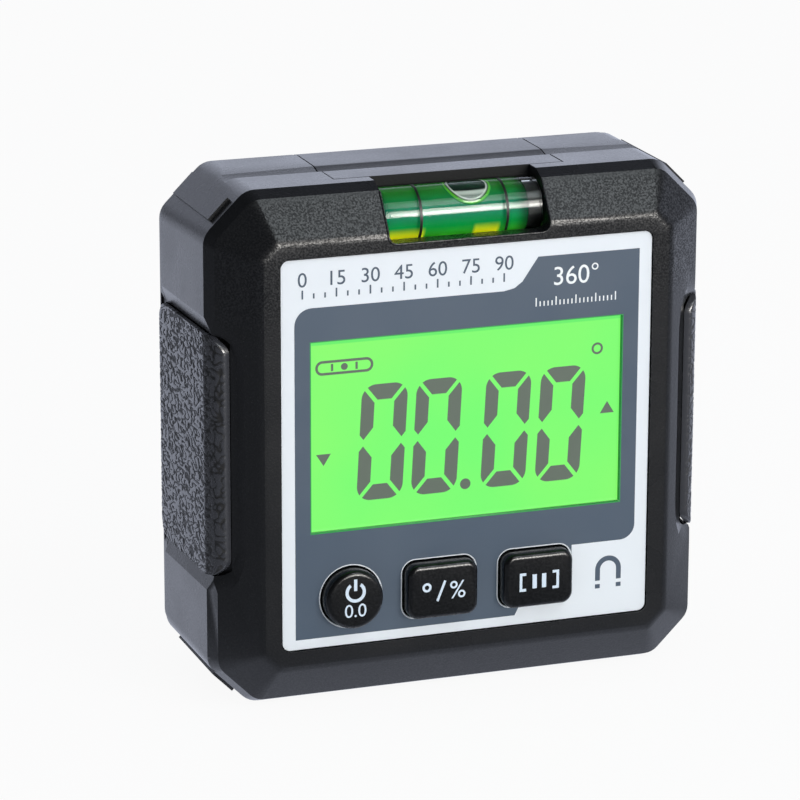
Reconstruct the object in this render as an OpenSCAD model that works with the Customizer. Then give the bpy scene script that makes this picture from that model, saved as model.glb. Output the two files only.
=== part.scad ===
// Digital angle gauge with a spirit vial, three push buttons and a hinged battery door
// Millimetres. The front faces -Y and the base rests on z = 0.

/* [Case] */
// Width across the flat side faces at the rim
case_w = 56.4; // [56:0.2:64]
// Height from the base to the top face
case_h = 57; // [56.5:0.5:64]
// Depth from the front rim to the rear face
case_d = 25; // [24.5:0.5:32]
// Leg of the chamfer along the four long corners
corner_cut = 4.65; // [3.6:0.05:5.6]
// Rounding where the chamfers meet the flat sides
corner_r = 2.5; // [1.5:0.1:3]
// Widening of each side from the rim to the parting line
side_flare = 0.45; // [0.2:0.05:0.6]
// Width of the steep band round the front bevel
band_in = 0.7; // [0.4:0.1:0.9]
// Depth of the steep band
band_deep = 1.7; // [1.2:0.1:2]
// Width of the front bevel
bevel_in = 3.7; // [3:0.1:3.8]
// Depth of the front bevel
bevel_deep = 2.6; // [2.2:0.1:2.9]
// Width of the rounded crease between the bevel and the flat rim
crease_in = 1.1; // [0.8:0.1:1.2]
// Depth of the rounded crease
crease_deep = 0.4; // [0.25:0.05:0.5]
// Thickness of the side walls
side_wall = 3; // [2.6:0.1:3.2]
// Thickness of the base with its magnet pockets
base_t = 4.3; // [4:0.1:4.6]
// Thickness of the top wall
top_t = 3; // [2.8:0.1:3.1]
// Raised height of the corner pads
pad_up = 0.4; // [0.3:0.05:0.7]
// Width of the corner pads along the chamfer
pad_w = 3.1; // [2:0.1:3.6]

/* [Top face] */
// Depth of the flat band from the front edge to the valley line
top_band = 5.7; // [5.5:0.1:6]
// Drop of the valley below the top face
valley_drop = 0.45; // [0.2:0.05:0.6]
// Length of the slope from the valley up to the crest
valley_run = 5.1; // [4:0.1:6]
// Half width of the vial cap and of the battery door
lid_half = 13.05; // [13.05:0.05:14]
// Front to back size of the vial cap
cap_len = 3.85; // [3.7:0.05:3.95]
// Clearance round the vial cap
cap_gap = 0.12; // [0.08:0.02:0.2]

/* [Rear cover and door] */
// Depth of the rear cover behind the parting line
rear_deep = 6.1; // [5.8:0.1:6.6]
// Step in from the front case to the rear cover
rear_step = 0.25; // [0.15:0.05:0.4]
// Straight strip of the rear cover before its bevel
rear_strip = 1.3; // [1.2:0.1:1.8]
// Lean of the rear bevel
rear_lean = 3.4; // [2.8:0.1:3.6]
// Open seam along the parting line
seam = 0.15; // [0.1:0.05:0.25]
// Thickness of the battery door's back
door_t = 1.5; // [1.4:0.05:1.7]
// Thickness of the battery door's lip
lip_t = 1.7; // [1.4:0.1:1.8]
// Gap round the battery door
door_gap = 0.15; // [0.1:0.05:0.25]
// Radius of the hinge knuckles
knuckle_r = 1.2; // [1.1:0.05:1.25]
// Radius of the hinge trunnions
trunnion_r = 0.7; // [0.6:0.05:0.75]
// Radial clearance of the trunnions
trunnion_fit = 0.05; // [0.03:0.01:0.08]

/* [Front panel and display] */
// Side margin from the case to the panel recess
panel_side = 7; // [6.8:0.1:7.2]
// Lower margin from the base to the panel recess
panel_low = 6.8; // [6.6:0.1:7]
// Upper margin from the top face to the panel recess
panel_high = 6.75; // [6.6:0.05:6.9]
// Panel thickness
panel_t = 0.5; // [0.4:0.05:0.6]
// Depth of the panel face below the rim
panel_sink = 0.3; // [0.2:0.05:0.4]
// Gap round the panel
panel_gap = 0.12; // [0.08:0.02:0.2]
// Corner radius of the panel recess
panel_r = 1; // [0.6:0.1:1.6]
// Side margin from the panel recess to the display opening
lcd_side = 3.3; // [3.2:0.05:4]
// Upper margin from the panel recess to the display opening
lcd_high = 9.15; // [9:0.05:10]
// Lower margin from the panel recess to the display opening
lcd_up = 12.95; // [12.8:0.05:13.2]
// Thickness of the wall behind the panel
wall_t = 1.45; // [1.3:0.05:1.6]
// Overlap of the display glass behind the panel
glass_edge = 1.2; // [0.9:0.1:1.3]
// Contact ledge of the glass below the opening
glass_ledge = 3; // [2.8:0.1:3.1]
// Thickness of the display glass
glass_t = 1.6; // [1.4:0.1:1.8]
// Thickness of the backlight
backlight_t = 2.2; // [2.1:0.1:2.4]
// Thickness of the circuit board
board_t = 1; // [0.8:0.1:1.2]

/* [Buttons] */
// Height of the button faces above the flat rim
button_stand = 1.3; // [1:0.1:1.6]
// Button row height above the panel's lower edge
button_row = 5.55; // [5.4:0.05:5.6]
// Distance from the side of the recess to the round button's centre
power_in = 7.86; // [7.5:0.02:8]
// Distance from the round button to the first key
power_pitch = 10.1; // [9.9:0.05:10.3]
// Distance between the two keys
key_pitch = 11.1; // [10.5:0.05:11.5]
// Diameter of the round button
power_d = 6.6; // [6:0.1:6.8]
// Width of the two rectangular buttons
key_w = 8.1; // [7:0.1:8.4]
// Height of the two rectangular buttons
key_h = 6.2; // [5.6:0.1:6.4]
// Corner radius of the rectangular buttons
key_r = 1.3; // [1:0.1:1.6]
// Rounding of the button faces
button_round = 0.6; // [0.4:0.05:0.7]
// Gap round the buttons
button_gap = 0.2; // [0.12:0.02:0.24]
// Overhang of the retaining flanges
flange_w = 0.6; // [0.5:0.05:0.7]
// Thickness of the retaining flanges
flange_t = 0.6; // [0.5:0.05:0.65]
// Side of the square switch bases
switch_w = 4.5; // [4:0.1:5]
// Radius of the switch plungers
plunger_r = 0.9; // [0.7:0.05:1.1]
// Radial clearance of the switch plungers
plunger_fit = 0.06; // [0.04:0.01:0.08]

/* [Vial] */
// Outside diameter of the vial tube
vial_d = 6.2; // [5.8:0.1:6.3]
// Length of the vial tube
vial_len = 17.8; // [16:0.1:18]
// Wall of the vial tube
vial_wall = 0.6; // [0.5:0.05:0.8]
// Depth of the vial axis behind the rim
vial_back = 4.8; // [4.7:0.05:4.9]
// Depth of the vial axis below the top face
vial_down = 4; // [3.9:0.05:4.1]
// Clearance of the vial in its trough
vial_fit = 0.15; // [0.1:0.01:0.2]
// Height of the window sill above the panel recess
sill_up = 0.75; // [0.6:0.05:0.9]
// Length of the air bubble
bubble_len = 5.2; // [4:0.1:7]
// Distance of each ring mark from the middle
mark_x = 4.9; // [4.5:0.1:5.5]
// Width of the ring marks
mark_w = 0.3; // [0.2:0.05:0.5]

/* [Grips] */
// Length of each rubber grip
grip_len = 26.7; // [22:0.1:28]
// Stand of the grips above the side faces
grip_proud = 0.1; // [0.05:0.05:0.4]
// Depth of the grip beds
grip_bed = 1.2; // [1:0.05:1.3]
// Thickness of the grip where it wraps onto the bevel
grip_t = 1.3; // [1:0.05:1.4]
// Reach of the grip along the bevel
grip_wrap = 1.4; // [0.8:0.05:1.6]
// Clearance of the grips in their beds
grip_fit = 0.1; // [0.05:0.01:0.12]
// Length of the finger scoops
scoop_len = 30.3; // [29.6:0.1:31]
// Run of the sloping ends of the finger scoops
scoop_lip = 1.7; // [1.2:0.1:1.8]
// Depth of the finger scoops
scoop_deep = 0.5; // [0.3:0.05:0.6]
// Reach of the finger scoops along the bevel
scoop_reach = 3.2; // [2.6:0.1:3.4]

/* [Cells and fixings] */
// Diameter of each cell
cell_d = 10.5; // [10:0.1:10.6]
// Length of the contact springs with the cells in
spring_h = 2.2; // [1.8:0.1:3]
// Thickness of the contact plates
contact_t = 0.3; // [0.2:0.05:0.4]
// Wall of the battery tub
tub_wall = 1.2; // [1:0.1:1.3]
// Diameter of the base magnets
magnet_d = 9; // [7:0.1:10]
// Thickness of the base magnets
magnet_t = 3; // [2:0.1:3.2]
// Radius of the screw bosses
boss_r = 2.3; // [2.1:0.05:2.4]
// Case screw shank radius
screw_r = 1; // [0.8:0.05:1.1]
// Board screw shank radius
board_screw_r = 0.8; // [0.6:0.05:0.9]

/* [Hidden] */
$fn = 64;
arc_steps = 4;

// Case planes
half_w = case_w / 2;
mid_z = case_h / 2;
front_y = (button_stand - case_d) / 2;
rear_y = front_y + case_d;
crease_y = front_y + crease_deep;
band_y = crease_y + bevel_deep;
rim_y = band_y + band_deep;
valley_y = rim_y + top_band;
crest_y = valley_y + valley_run;
parting_y = rear_y - rear_deep;
strip_y = parting_y + rear_strip;
crease_inset = band_in + bevel_in;
rear_inset = rear_step + rear_lean;

// Panel, display and board stack
recess_half = half_w - panel_side;
recess_z0 = panel_low;
recess_z1 = case_h - panel_high;
panel_y = front_y + panel_sink;
panel_back = panel_y + panel_t;
wall_back = panel_back + wall_t;
lcd_half = recess_half - lcd_side;
lcd_z0 = recess_z0 + lcd_up;
lcd_z1 = recess_z1 - lcd_high;
glass_half = lcd_half + glass_edge;
glass_z0 = lcd_z0 - glass_ledge;
glass_z1 = lcd_z1 + glass_edge;
glass_gap = 0.15;
glass_y = panel_back + 0.08;
glass_back = glass_y + glass_t;
light_edge = 0.5;
light_half = lcd_half + light_edge;
light_z0 = lcd_z0 - light_edge;
light_z1 = lcd_z1 + light_edge;
board_y = glass_back + backlight_t;
board_back = board_y + board_t;

// Chips on the board
chip_w = 7;
chip_t = 1;
chip_x = -6;
chip_z = mid_z + 1.5;
sensor_w = 4.5;
sensor_t = 1.2;
sensor_x = 7.25;
sensor_z = mid_z + 3.25;
crystal_l = 7;
crystal_w = 3;
crystal_t = 1.6;
crystal_x = 5.5;
crystal_z = mid_z - 5.5;

// Vial and its block
vial_y = front_y + vial_back;
vial_z = case_h - vial_down;
bore_r = vial_d / 2 - vial_wall;
tube_end = 0.8;
plug_len = 1.6;
liquid_fit = 0.03;
mark_t = 0.05;
bubble_r = 1.2;
bubble_x = 0.33;
bubble_z = vial_z + bore_r - bubble_r + 0.05;
trough_r = vial_d / 2 + vial_fit;
window_half = vial_len / 2 + 0.3;
sill_z = recess_z1 + sill_up;
block_z = vial_z - trough_r - 1.35;
block_y = vial_y + trough_r + 1.5;
cap_y = valley_y - cap_len;
cap_z = vial_z + sqrt(max(0, pow(trough_r, 2) - pow(cap_y - vial_y, 2))) + 0.03;

// Hollows of the front case
well_half = half_w - side_wall;
well_y = board_back - 0.33;
well_z1 = case_h - top_t;
bay_half = half_w - 6.7;
bay_z0 = base_t + 0.6;

// Screw places
boss_x = half_w - 5.9;
boss_zs = [9.5, case_h - 10];
board_half = boss_x - boss_r - 0.5;
board_z0 = base_t + 0.9;
board_z1 = block_z - 0.5;
post_r = 1.6;
post_x = board_half - 1.9;
post_zs = [board_z0 + 1.9, board_z1 - 1.9];
head_h = 1.4;
head_r = 1.9;
head_sink = 0.3;
head_y = rear_y - head_sink - head_h;
cross_half = 1.2;
cross_w = 0.25;
cross_y = head_y + 0.8;
pilot_fit = 0.02;

// Buttons and switches
button_y = front_y - button_stand;
button_z = recess_z0 + button_row;
power_x = power_in - recess_half;
unit_x = power_x + power_pitch;
hold_x = unit_x + key_pitch;
flange_y = wall_back + 0.12;
flange_back = flange_y + flange_t;
switch_y = board_y - 1;
plunger_y = switch_y - 0.4;
plunger_back = board_y - 0.4;

// Cells, tub and contacts
cell_gap = 0.35;
cell_y = rear_y - door_t - cell_gap - cell_d / 2;
cell_x = cell_d / 2 + 0.3;
tub_half = cell_x + cell_d / 2 + 0.4;
tub_floor = cell_y - cell_d / 2 - 0.2;
tub_y = tub_floor - 1;
tub_z0 = base_t + 0.25;
tub_z1 = well_z1 - 0.25;
tub_in0 = tub_z0 + 1;
tub_in1 = tub_z1 - 0.9;
low_z = tub_in0 + contact_t;
high_z = tub_in1 - contact_t;
cell_l = high_z - low_z - spring_h;
nub_h = 0.8;
contact_half = 3.5;
tail_half = 1;
wire_r = 0.28;

// Door and hinge
lip_y = valley_y + door_gap;
lip_z = case_h - lip_t;
hinge_y = rear_y - knuckle_r;
hinge_drop = 0.25;
hinge_z = tub_in0 - hinge_drop;
trunnion_len = 1.25;

// Magnets
magnet_x = 14;
magnet_z = 0.1;

// Grip geometry in plan, right side
scoop_half = scoop_len / 2;
grip_in = half_w - grip_bed;
grip_rear = strip_y - 0.35;
flare_turn = atan(side_flare / (parting_y - seam - rim_y));
grip_front_x = half_w + grip_proud;
grip_rear_x = grip_front_x + (grip_rear - rim_y) * tan(flare_turn);
edge_b = [half_w - band_in, band_y];
edge_c = [half_w - crease_inset, crease_y];
bevel_run = norm(edge_c - edge_b);
bevel_e = (edge_c - edge_b) / bevel_run;
bevel_n = [-bevel_e[1], bevel_e[0]];
bevel_turn = atan2(bevel_e[1], bevel_e[0]);

// Drawing helpers
module along_y(y0, y1)
    translate([0, y1, 0])
    rotate([90, 0, 0])
    linear_extrude(y1 - y0)
    children();

module along_x(x0, x1)
    translate([x0, 0, 0])
    rotate([90, 0, 90])
    linear_extrude(x1 - x0)
    children();

module block(lo, hi)
    translate(lo)
    cube(hi - lo);

module rod_x(x0, x1, r, y, z)
    translate([x0, y, z])
    rotate([0, 90, 0])
    cylinder(r = r, h = x1 - x0);

module rod_y(y0, y1, r, x, z)
    translate([x, y1, z])
    rotate([90, 0, 0])
    cylinder(r = r, h = y1 - y0);

module rounded(x0, x1, z0, z1, r) {
    translate([x0 + r, z0])
    square([x1 - x0 - 2 * r, z1 - z0]);
    translate([x0, z0 + r])
    square([x1 - x0, z1 - z0 - 2 * r]);
    for (x = [x0 + r, x1 - r])
        for (z = [z0 + r, z1 - r])
            translate([x, z])
            circle(r);
}

module both_sides() {
    children();
    mirror([1, 0, 0])
    children();
}

// Chamfered and rounded outline of the case at a given inset, with its sides widened by a flare
function outline(inset, flare = 0) =
    let (w = half_w + flare - inset)
    let (z0 = inset)
    let (z1 = case_h - inset)
    let (c = corner_cut + flare - inset * (2 - sqrt(2)))
    let (r = max(corner_r - inset / 2, 0.8))
    let (v = [[w, z1 - c], [w - c, z1], [c - w, z1], [-w, z1 - c],
        [-w, z0 + c], [c - w, z0], [w - c, z0], [w, z0 + c]])
    [for (k = [0:7])
        for (s = [0:arc_steps])
            let (b = 22.5 + 45 * k)
            let (a = 45 * k + 45 * s / arc_steps)
            v[k] - r / cos(22.5) * [cos(b), sin(b)] + r * [cos(a), sin(a)]];

// Closed skin through rings of points
module loft(rings) {
    n = len(rings[0]);
    m = len(rings);
    points = [for (g = rings) for (p = g) p];
    skin = [for (i = [0:m - 2]) for (j = [0:n - 1]) for (s = [0, 1])
        let (k = (j + 1) % n)
        s == 0 ? [i * n + j, i * n + k, (i + 1) * n + k]
            : [i * n + j, (i + 1) * n + k, (i + 1) * n + j]];
    start = [for (j = [0:n - 1]) n - 1 - j];
    end = [for (j = [0:n - 1]) (m - 1) * n + j];
    polyhedron(points, concat(skin, [start, end]));
}

function lift(points, y) = [for (p = points) [p[0], y, p[1]]];

module front_outer()
    loft([for (t = [1, 0.7, 0.35, 0])
            lift(outline(crease_inset + crease_in * t), front_y + crease_deep * pow(1 - t, 2)),
        lift(outline(band_in), band_y),
        lift(outline(0), rim_y),
        lift(outline(0, side_flare), parting_y - seam)]);

module rear_outer()
    loft([lift(outline(rear_step, side_flare), parting_y),
        lift(outline(rear_step, side_flare), strip_y),
        lift(outline(rear_inset, side_flare), rear_y)]);

module rear_inner()
    loft([lift(outline(rear_step + 1.6), parting_y - 0.5),
        lift(outline(rear_step + 1.6), strip_y),
        lift(outline(rear_inset + 1), rear_y - 1.8)]);

module corner_pads()
    both_sides()
        for (z = [corner_cut / 2, case_h - corner_cut / 2])
            translate([half_w - corner_cut / 2, (rim_y + 1.3 + parting_y - seam) / 2, z])
            rotate([0, 45, 0])
            cube([z > mid_z ? pad_w : 2 * pad_up, parting_y - seam - rim_y - 1.3,
                z > mid_z ? 2 * pad_up : pad_w], center = true);

// Grip outlines in plan for the right side
function grip_tip(fit) = edge_b + bevel_e * (grip_wrap + fit);
function grip_heel(fit) = grip_tip(fit) - bevel_n * (grip_t + fit);
function grip_knee(fit) =
    let (h = grip_heel(fit))
    let (k = (grip_in - fit - h[0]) / -bevel_e[0])
    [grip_in - fit, h[1] - bevel_e[1] * k];

module grip_side(fit)
    along_x(0, half_w + 5)
    rounded(grip_tip(fit)[1], grip_rear + fit, mid_z - grip_len / 2 - fit,
        mid_z + grip_len / 2 + fit, 2);

module grip_shape()
    intersection() {
        translate([0, 0, mid_z - grip_len])
        linear_extrude(2 * grip_len)
        polygon([[grip_in, grip_rear], [grip_rear_x, grip_rear], [grip_front_x, rim_y],
            edge_b + [grip_proud, 0] - [0, 0.15], grip_tip(0) + 0.05 * bevel_n, grip_heel(0),
            grip_knee(0)]);
        grip_side(0);
    }

module grip_pocket()
    intersection() {
        translate([0, 0, mid_z - grip_len])
        linear_extrude(2 * grip_len)
        polygon([[grip_in - grip_fit, grip_rear + grip_fit], [half_w + 2, grip_rear + grip_fit],
            [half_w + 2, band_y - 3], grip_tip(grip_fit) + 3 * bevel_n, grip_heel(grip_fit),
            grip_knee(grip_fit)]);
        grip_side(grip_fit);
    }

// Shallow finger scoop on a side face, turned to follow the flare, and on the bevel beside it
module side_scoop()
    translate([half_w, rim_y, mid_z])
    rotate([0, 0, -flare_turn])
    along_y(band_y - 0.1 - rim_y, strip_y - 0.3 - rim_y)
    polygon([[1, -scoop_half - 2 * scoop_lip], [0, -scoop_half], [-scoop_deep, scoop_lip - scoop_half],
        [-scoop_deep, scoop_half - scoop_lip], [0, scoop_half], [1, scoop_half + 2 * scoop_lip]]);

function round_box(x0, x1, z0, z1, rx, rz) =
    let (c = [[x1 - rx, z1 - rz], [x0 + rx, z1 - rz], [x0 + rx, z0 + rz], [x1 - rx, z0 + rz]])
    [for (k = [0:3])
        for (s = [0:arc_steps])
            let (a = 90 * k + 90 * s / arc_steps)
            c[k] + [rx * cos(a), rz * sin(a)]];

module bevel_scoop()
    translate([edge_b[0], edge_b[1], 0])
    rotate([0, 0, bevel_turn])
    loft([for (n = [-1, 0.6])
        lift(round_box(-3.4, scoop_reach + 0.9 * n, mid_z - scoop_half - scoop_lip * n,
            mid_z + scoop_half + scoop_lip * n, 3 + 0.4 * n, 5 + 0.6 * n), n * scoop_deep)]);

// Door outline from the side, thinned to t along its back and bevel
bevel_q = [strip_y, case_h - rear_step];
bevel_d = [rear_y - strip_y, -rear_lean] / norm([rear_y - strip_y, rear_lean]);
bevel_m = [bevel_d[1], -bevel_d[0]];
function inner_low(t) =
    let (q = bevel_q + t * bevel_m)
    let (k = (rear_y - t - q[0]) / bevel_d[0])
    q + k * bevel_d;
function inner_high(t, z) =
    let (q = bevel_q + t * bevel_m)
    let (k = (z - q[1]) / bevel_d[1])
    q + k * bevel_d;

module door_profile()
    polygon([[lip_y, case_h - valley_drop * (1 - door_gap / valley_run)], [crest_y, case_h],
        [parting_y, case_h], [parting_y + rear_step, case_h - rear_step], bevel_q,
        [rear_y, case_h - rear_inset], [rear_y, hinge_z], [rear_y - door_t, hinge_z],
        inner_low(door_t), inner_high(door_t, lip_z), [lip_y, lip_z]]);

module door_clear()
    polygon([[parting_y - 1, lip_z - door_gap], [parting_y - 1, case_h + 5], [rear_y + 5, case_h + 5],
        [rear_y + 5, hinge_z - knuckle_r - 0.25], [hinge_y, hinge_z - knuckle_r - 0.25],
        [hinge_y, hinge_z], [rear_y - door_t - door_gap, hinge_z], inner_low(door_t + door_gap),
        inner_high(door_t + door_gap, lip_z - door_gap)]);

// Key caps
module key_plan(x, grow)
    rounded(x - key_w / 2 - grow, x + key_w / 2 + grow, button_z - key_h / 2 - grow,
        button_z + key_h / 2 + grow, key_r + grow);

module cap_turn(r, y1)
    rotate([90, 0, 0])
    rotate_extrude($fn = 32)
    polygon([[0, -y1], [r, -y1], for (a = [0:15:90]) [r - button_round + button_round * cos(a),
        -button_y - button_round + button_round * sin(a)], [0, -button_y]]);

module key(x) {
    hull()
        for (dx = [key_r - key_w / 2, key_w / 2 - key_r])
            for (dz = [key_r - key_h / 2, key_h / 2 - key_r])
                translate([x + dx, 0, button_z + dz])
                cap_turn(key_r, flange_y + 0.1);
    along_y(flange_y, flange_back)
    key_plan(x, flange_w);
    rod_y(flange_back - 0.1, plunger_y, plunger_r + 0.2, x, button_z);
}

module switch_base(x)
    difference() {
        block([x - switch_w / 2, switch_y, button_z - switch_w / 2],
            [x + switch_w / 2, board_y, button_z + switch_w / 2]);
        rod_y(switch_y - 1, board_y + 1, plunger_r + plunger_fit, x, button_z);
    }

module plunger(x)
    rod_y(plunger_y, plunger_back, plunger_r, x, button_z);

module magnet(x)
    translate([x, 0, magnet_z])
    cylinder(d = magnet_d, h = magnet_t);

// Cell standing on its flat end at z0
module cell(x, z0) {
    translate([x, cell_y, z0])
    cylinder(d = cell_d, h = cell_l - nub_h);
    translate([x, cell_y, z0])
    cylinder(r = 1.9, h = cell_l);
}

// Conical coil that rises from z = 0 to z = h
module coil(h) {
    turns = 3;
    n = 48;
    m = 6;
    loft([for (i = [0:n])
        let (a = 360 * turns * i / n)
        [for (j = [0:m - 1])
            let (r = 3.2 - 1.2 * i / n + wire_r * cos(360 * j / m))
            [r * cos(a), r * sin(a), wire_r + (h - 2 * wire_r) * i / n + wire_r * sin(360 * j / m)]]]);
}

module low_contact(x) {
    block([x - contact_half, cell_y - contact_half, tub_in0],
        [x + contact_half, cell_y + contact_half, low_z]);
    block([x - tail_half, board_back, tub_in0], [x + tail_half, cell_y, low_z]);
}

// Shell pieces
module front_case()
    color([0.1, 0.1, 0.11])
    difference() {
        union() {
            difference() {
                union() {
                    front_outer();
                    corner_pads();
                }
                block([-well_half, well_y, base_t], [well_half, parting_y + 1, block_z]);
                block([-well_half, block_y, base_t], [well_half, parting_y + 1, well_z1]);
                block([-bay_half, wall_back, bay_z0], [bay_half, well_y + 1, block_z]);
            }
            both_sides()
                for (z = boss_zs)
                    rod_y(well_y - 0.5, parting_y, boss_r, boss_x, z);
            both_sides()
                for (z = post_zs)
                    rod_y(wall_back - 0.5, board_y, post_r, post_x, z);
        }
        along_x(-half_w - 1, half_w + 1)
        polygon([[valley_y, case_h + 1], [valley_y, case_h - valley_drop], [crest_y, case_h],
            [crest_y, case_h + 1]]);
        along_y(front_y - 1, cap_y)
        rounded(-window_half, window_half, sill_z, case_h + 5, 1);
        rod_x(-vial_len / 2 - vial_fit, vial_len / 2 + vial_fit, trough_r, vial_y, vial_z);
        block([-lid_half - cap_gap, cap_y - cap_gap, cap_z],
            [lid_half + cap_gap, valley_y + 0.1, case_h + 1]);
        block([-lid_half - door_gap, valley_y, lip_z - door_gap],
            [lid_half + door_gap, parting_y + 1, case_h + 1]);
        along_y(front_y - 1, panel_back)
        rounded(-recess_half, recess_half, recess_z0, recess_z1, panel_r);
        block([-glass_half - glass_gap, panel_back - 0.1, glass_z0 - glass_gap],
            [glass_half + glass_gap, wall_back + 0.1, glass_z1 + glass_gap]);
        rod_y(panel_back - 0.1, wall_back + 0.1, power_d / 2 + button_gap, power_x, button_z);
        along_y(panel_back - 0.1, wall_back + 0.1)
        key_plan(unit_x, button_gap);
        along_y(panel_back - 0.1, wall_back + 0.1)
        key_plan(hold_x, button_gap);
        for (x = [-magnet_x, magnet_x])
            translate([x, 0, -1])
            cylinder(r = magnet_d / 2 + 0.05, h = magnet_z + magnet_t + 1);
        both_sides()
            side_scoop();
        both_sides()
            bevel_scoop();
        both_sides()
            grip_pocket();
        both_sides()
            for (z = boss_zs)
                rod_y(parting_y - 7, parting_y + 1, screw_r + pilot_fit, boss_x, z);
        both_sides()
            for (z = post_zs)
                rod_y(board_y - 2, board_y + 1, board_screw_r + pilot_fit, post_x, z);
    }

module rear_cover()
    color([0.12, 0.12, 0.13])
    difference() {
        union() {
            difference() {
                rear_outer();
                rear_inner();
            }
            block([-tub_half - tub_wall, tub_y, tub_z0],
                [tub_half + tub_wall, rear_y - door_t, tub_z1]);
            block([-tub_half - tub_wall - 2.6, rear_y - door_t - 1.75, tub_z0],
                [tub_half + tub_wall + 2.6, rear_y - door_t, case_h - 6]);
            both_sides()
                for (z = boss_zs)
                    rod_y(parting_y, rear_y - 1, 2.9, boss_x, z);
        }
        block([-tub_half, tub_floor, tub_in0], [tub_half, rear_y + 1, tub_in1]);
        along_x(-lid_half - door_gap, lid_half + door_gap)
        door_clear();
        rod_x(-lid_half - door_gap, lid_half + door_gap, knuckle_r + 0.2, hinge_y, hinge_z);
        rod_x(-lid_half - trunnion_len - 0.15, lid_half + trunnion_len + 0.15, trunnion_r + trunnion_fit,
            hinge_y, hinge_z);
        for (x = [-cell_x, cell_x])
            block([x - tail_half - 0.15, tub_y - 1, tub_in0],
                [x + tail_half + 0.15, tub_floor + 1, low_z + 0.1]);
        both_sides()
            for (z = boss_zs) {
                rod_y(parting_y - 1, rear_y, screw_r + 0.1, boss_x, z);
                rod_y(head_y, rear_y + 1, head_r + 0.15, boss_x, z);
            }
        both_sides()
            side_scoop();
        both_sides()
            grip_pocket();
    }

module battery_door()
    color([0.13, 0.13, 0.14]) {
        along_x(-lid_half, lid_half)
        door_profile();
        difference() {
            rod_x(-lid_half, lid_half, knuckle_r, hinge_y, hinge_z);
            block([-tub_half, hinge_y - 5, hinge_z - 5], [tub_half, rear_y - door_t, hinge_z + 5]);
        }
        both_sides()
            rod_x(lid_half - 0.5, lid_half + trunnion_len, trunnion_r, hinge_y, hinge_z);
    }

module front_panel()
    color([0.9, 0.93, 0.96])
    difference() {
        along_y(panel_y, panel_back)
        rounded(-recess_half + panel_gap, recess_half - panel_gap, recess_z0 + panel_gap,
            recess_z1 - panel_gap, panel_r - panel_gap);
        along_y(panel_y - 1, panel_back + 1)
        rounded(-lcd_half, lcd_half, lcd_z0, lcd_z1, 0.4);
        rod_y(panel_y - 1, panel_back + 1, power_d / 2 + button_gap, power_x, button_z);
        along_y(panel_y - 1, panel_back + 1)
        key_plan(unit_x, button_gap);
        along_y(panel_y - 1, panel_back + 1)
        key_plan(hold_x, button_gap);
    }

// Display stack
module lcd_glass()
    color([0.55, 1, 0.45])
    block([-glass_half, glass_y, glass_z0], [glass_half, glass_back, glass_z1]);

module backlight()
    color([0.85, 0.95, 0.85])
    block([-light_half, glass_back, light_z0], [light_half, board_y, light_z1]);

module display_frame()
    color([0.2, 0.2, 0.22])
    difference() {
        block([-glass_half, glass_back, light_z0 - 0.7], [glass_half, board_y, glass_z1]);
        block([-light_half - 0.1, glass_back - 1, light_z0 - 0.1],
            [light_half + 0.1, board_y + 1, light_z1 + 0.1]);
    }

module lcd_connector()
    color([0.75, 0.45, 0.55])
    block([-glass_half + 1, glass_back, glass_z0 + 0.15], [glass_half - 1, board_y, light_z0 - 0.85]);

module circuit_board()
    color([0.08, 0.35, 0.18])
    difference() {
        block([-board_half, board_y, board_z0], [board_half, board_back, board_z1]);
        both_sides()
            for (z = post_zs)
                rod_y(board_y - 1, board_back + 1, board_screw_r + 0.15, post_x, z);
    }

module controller_chip()
    color([0.05, 0.05, 0.06])
    block([chip_x - chip_w / 2, board_back, chip_z - chip_w / 2],
        [chip_x + chip_w / 2, board_back + chip_t, chip_z + chip_w / 2]);

module tilt_sensor()
    color([0.07, 0.07, 0.08])
    block([sensor_x - sensor_w / 2, board_back, sensor_z - sensor_w / 2],
        [sensor_x + sensor_w / 2, board_back + sensor_t, sensor_z + sensor_w / 2]);

module crystal()
    color([0.75, 0.76, 0.78])
    along_y(board_back, board_back + crystal_t)
    rounded(crystal_x - crystal_l / 2, crystal_x + crystal_l / 2, crystal_z - crystal_w / 2,
        crystal_z + crystal_w / 2, crystal_w / 2 - 0.1);

// Switches, plungers and buttons
module power_switch()
    color([0.3, 0.3, 0.32])
    switch_base(power_x);

module unit_switch()
    color([0.3, 0.3, 0.32])
    switch_base(unit_x);

module hold_switch()
    color([0.3, 0.3, 0.32])
    switch_base(hold_x);

module power_plunger()
    color([0.8, 0.8, 0.78])
    plunger(power_x);

module unit_plunger()
    color([0.8, 0.8, 0.78])
    plunger(unit_x);

module hold_plunger()
    color([0.8, 0.8, 0.78])
    plunger(hold_x);

module power_button()
    color([0.06, 0.06, 0.07]) {
        translate([power_x, 0, button_z])
        cap_turn(power_d / 2, flange_y + 0.1, $fn = 64);
        rod_y(flange_y, flange_back, power_d / 2 + flange_w, power_x, button_z);
        rod_y(flange_back - 0.1, plunger_y, plunger_r + 0.2, power_x, button_z);
    }

module unit_button()
    color([0.06, 0.06, 0.07])
    key(unit_x);

module hold_button()
    color([0.06, 0.06, 0.07])
    key(hold_x);

// Spirit vial
module vial_tube()
    color([0.8, 0.95, 0.85])
    difference() {
        rod_x(-vial_len / 2, vial_len / 2, vial_d / 2, vial_y, vial_z);
        rod_x(tube_end - vial_len / 2, vial_len / 2 + 1, bore_r, vial_y, vial_z);
    }

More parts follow.
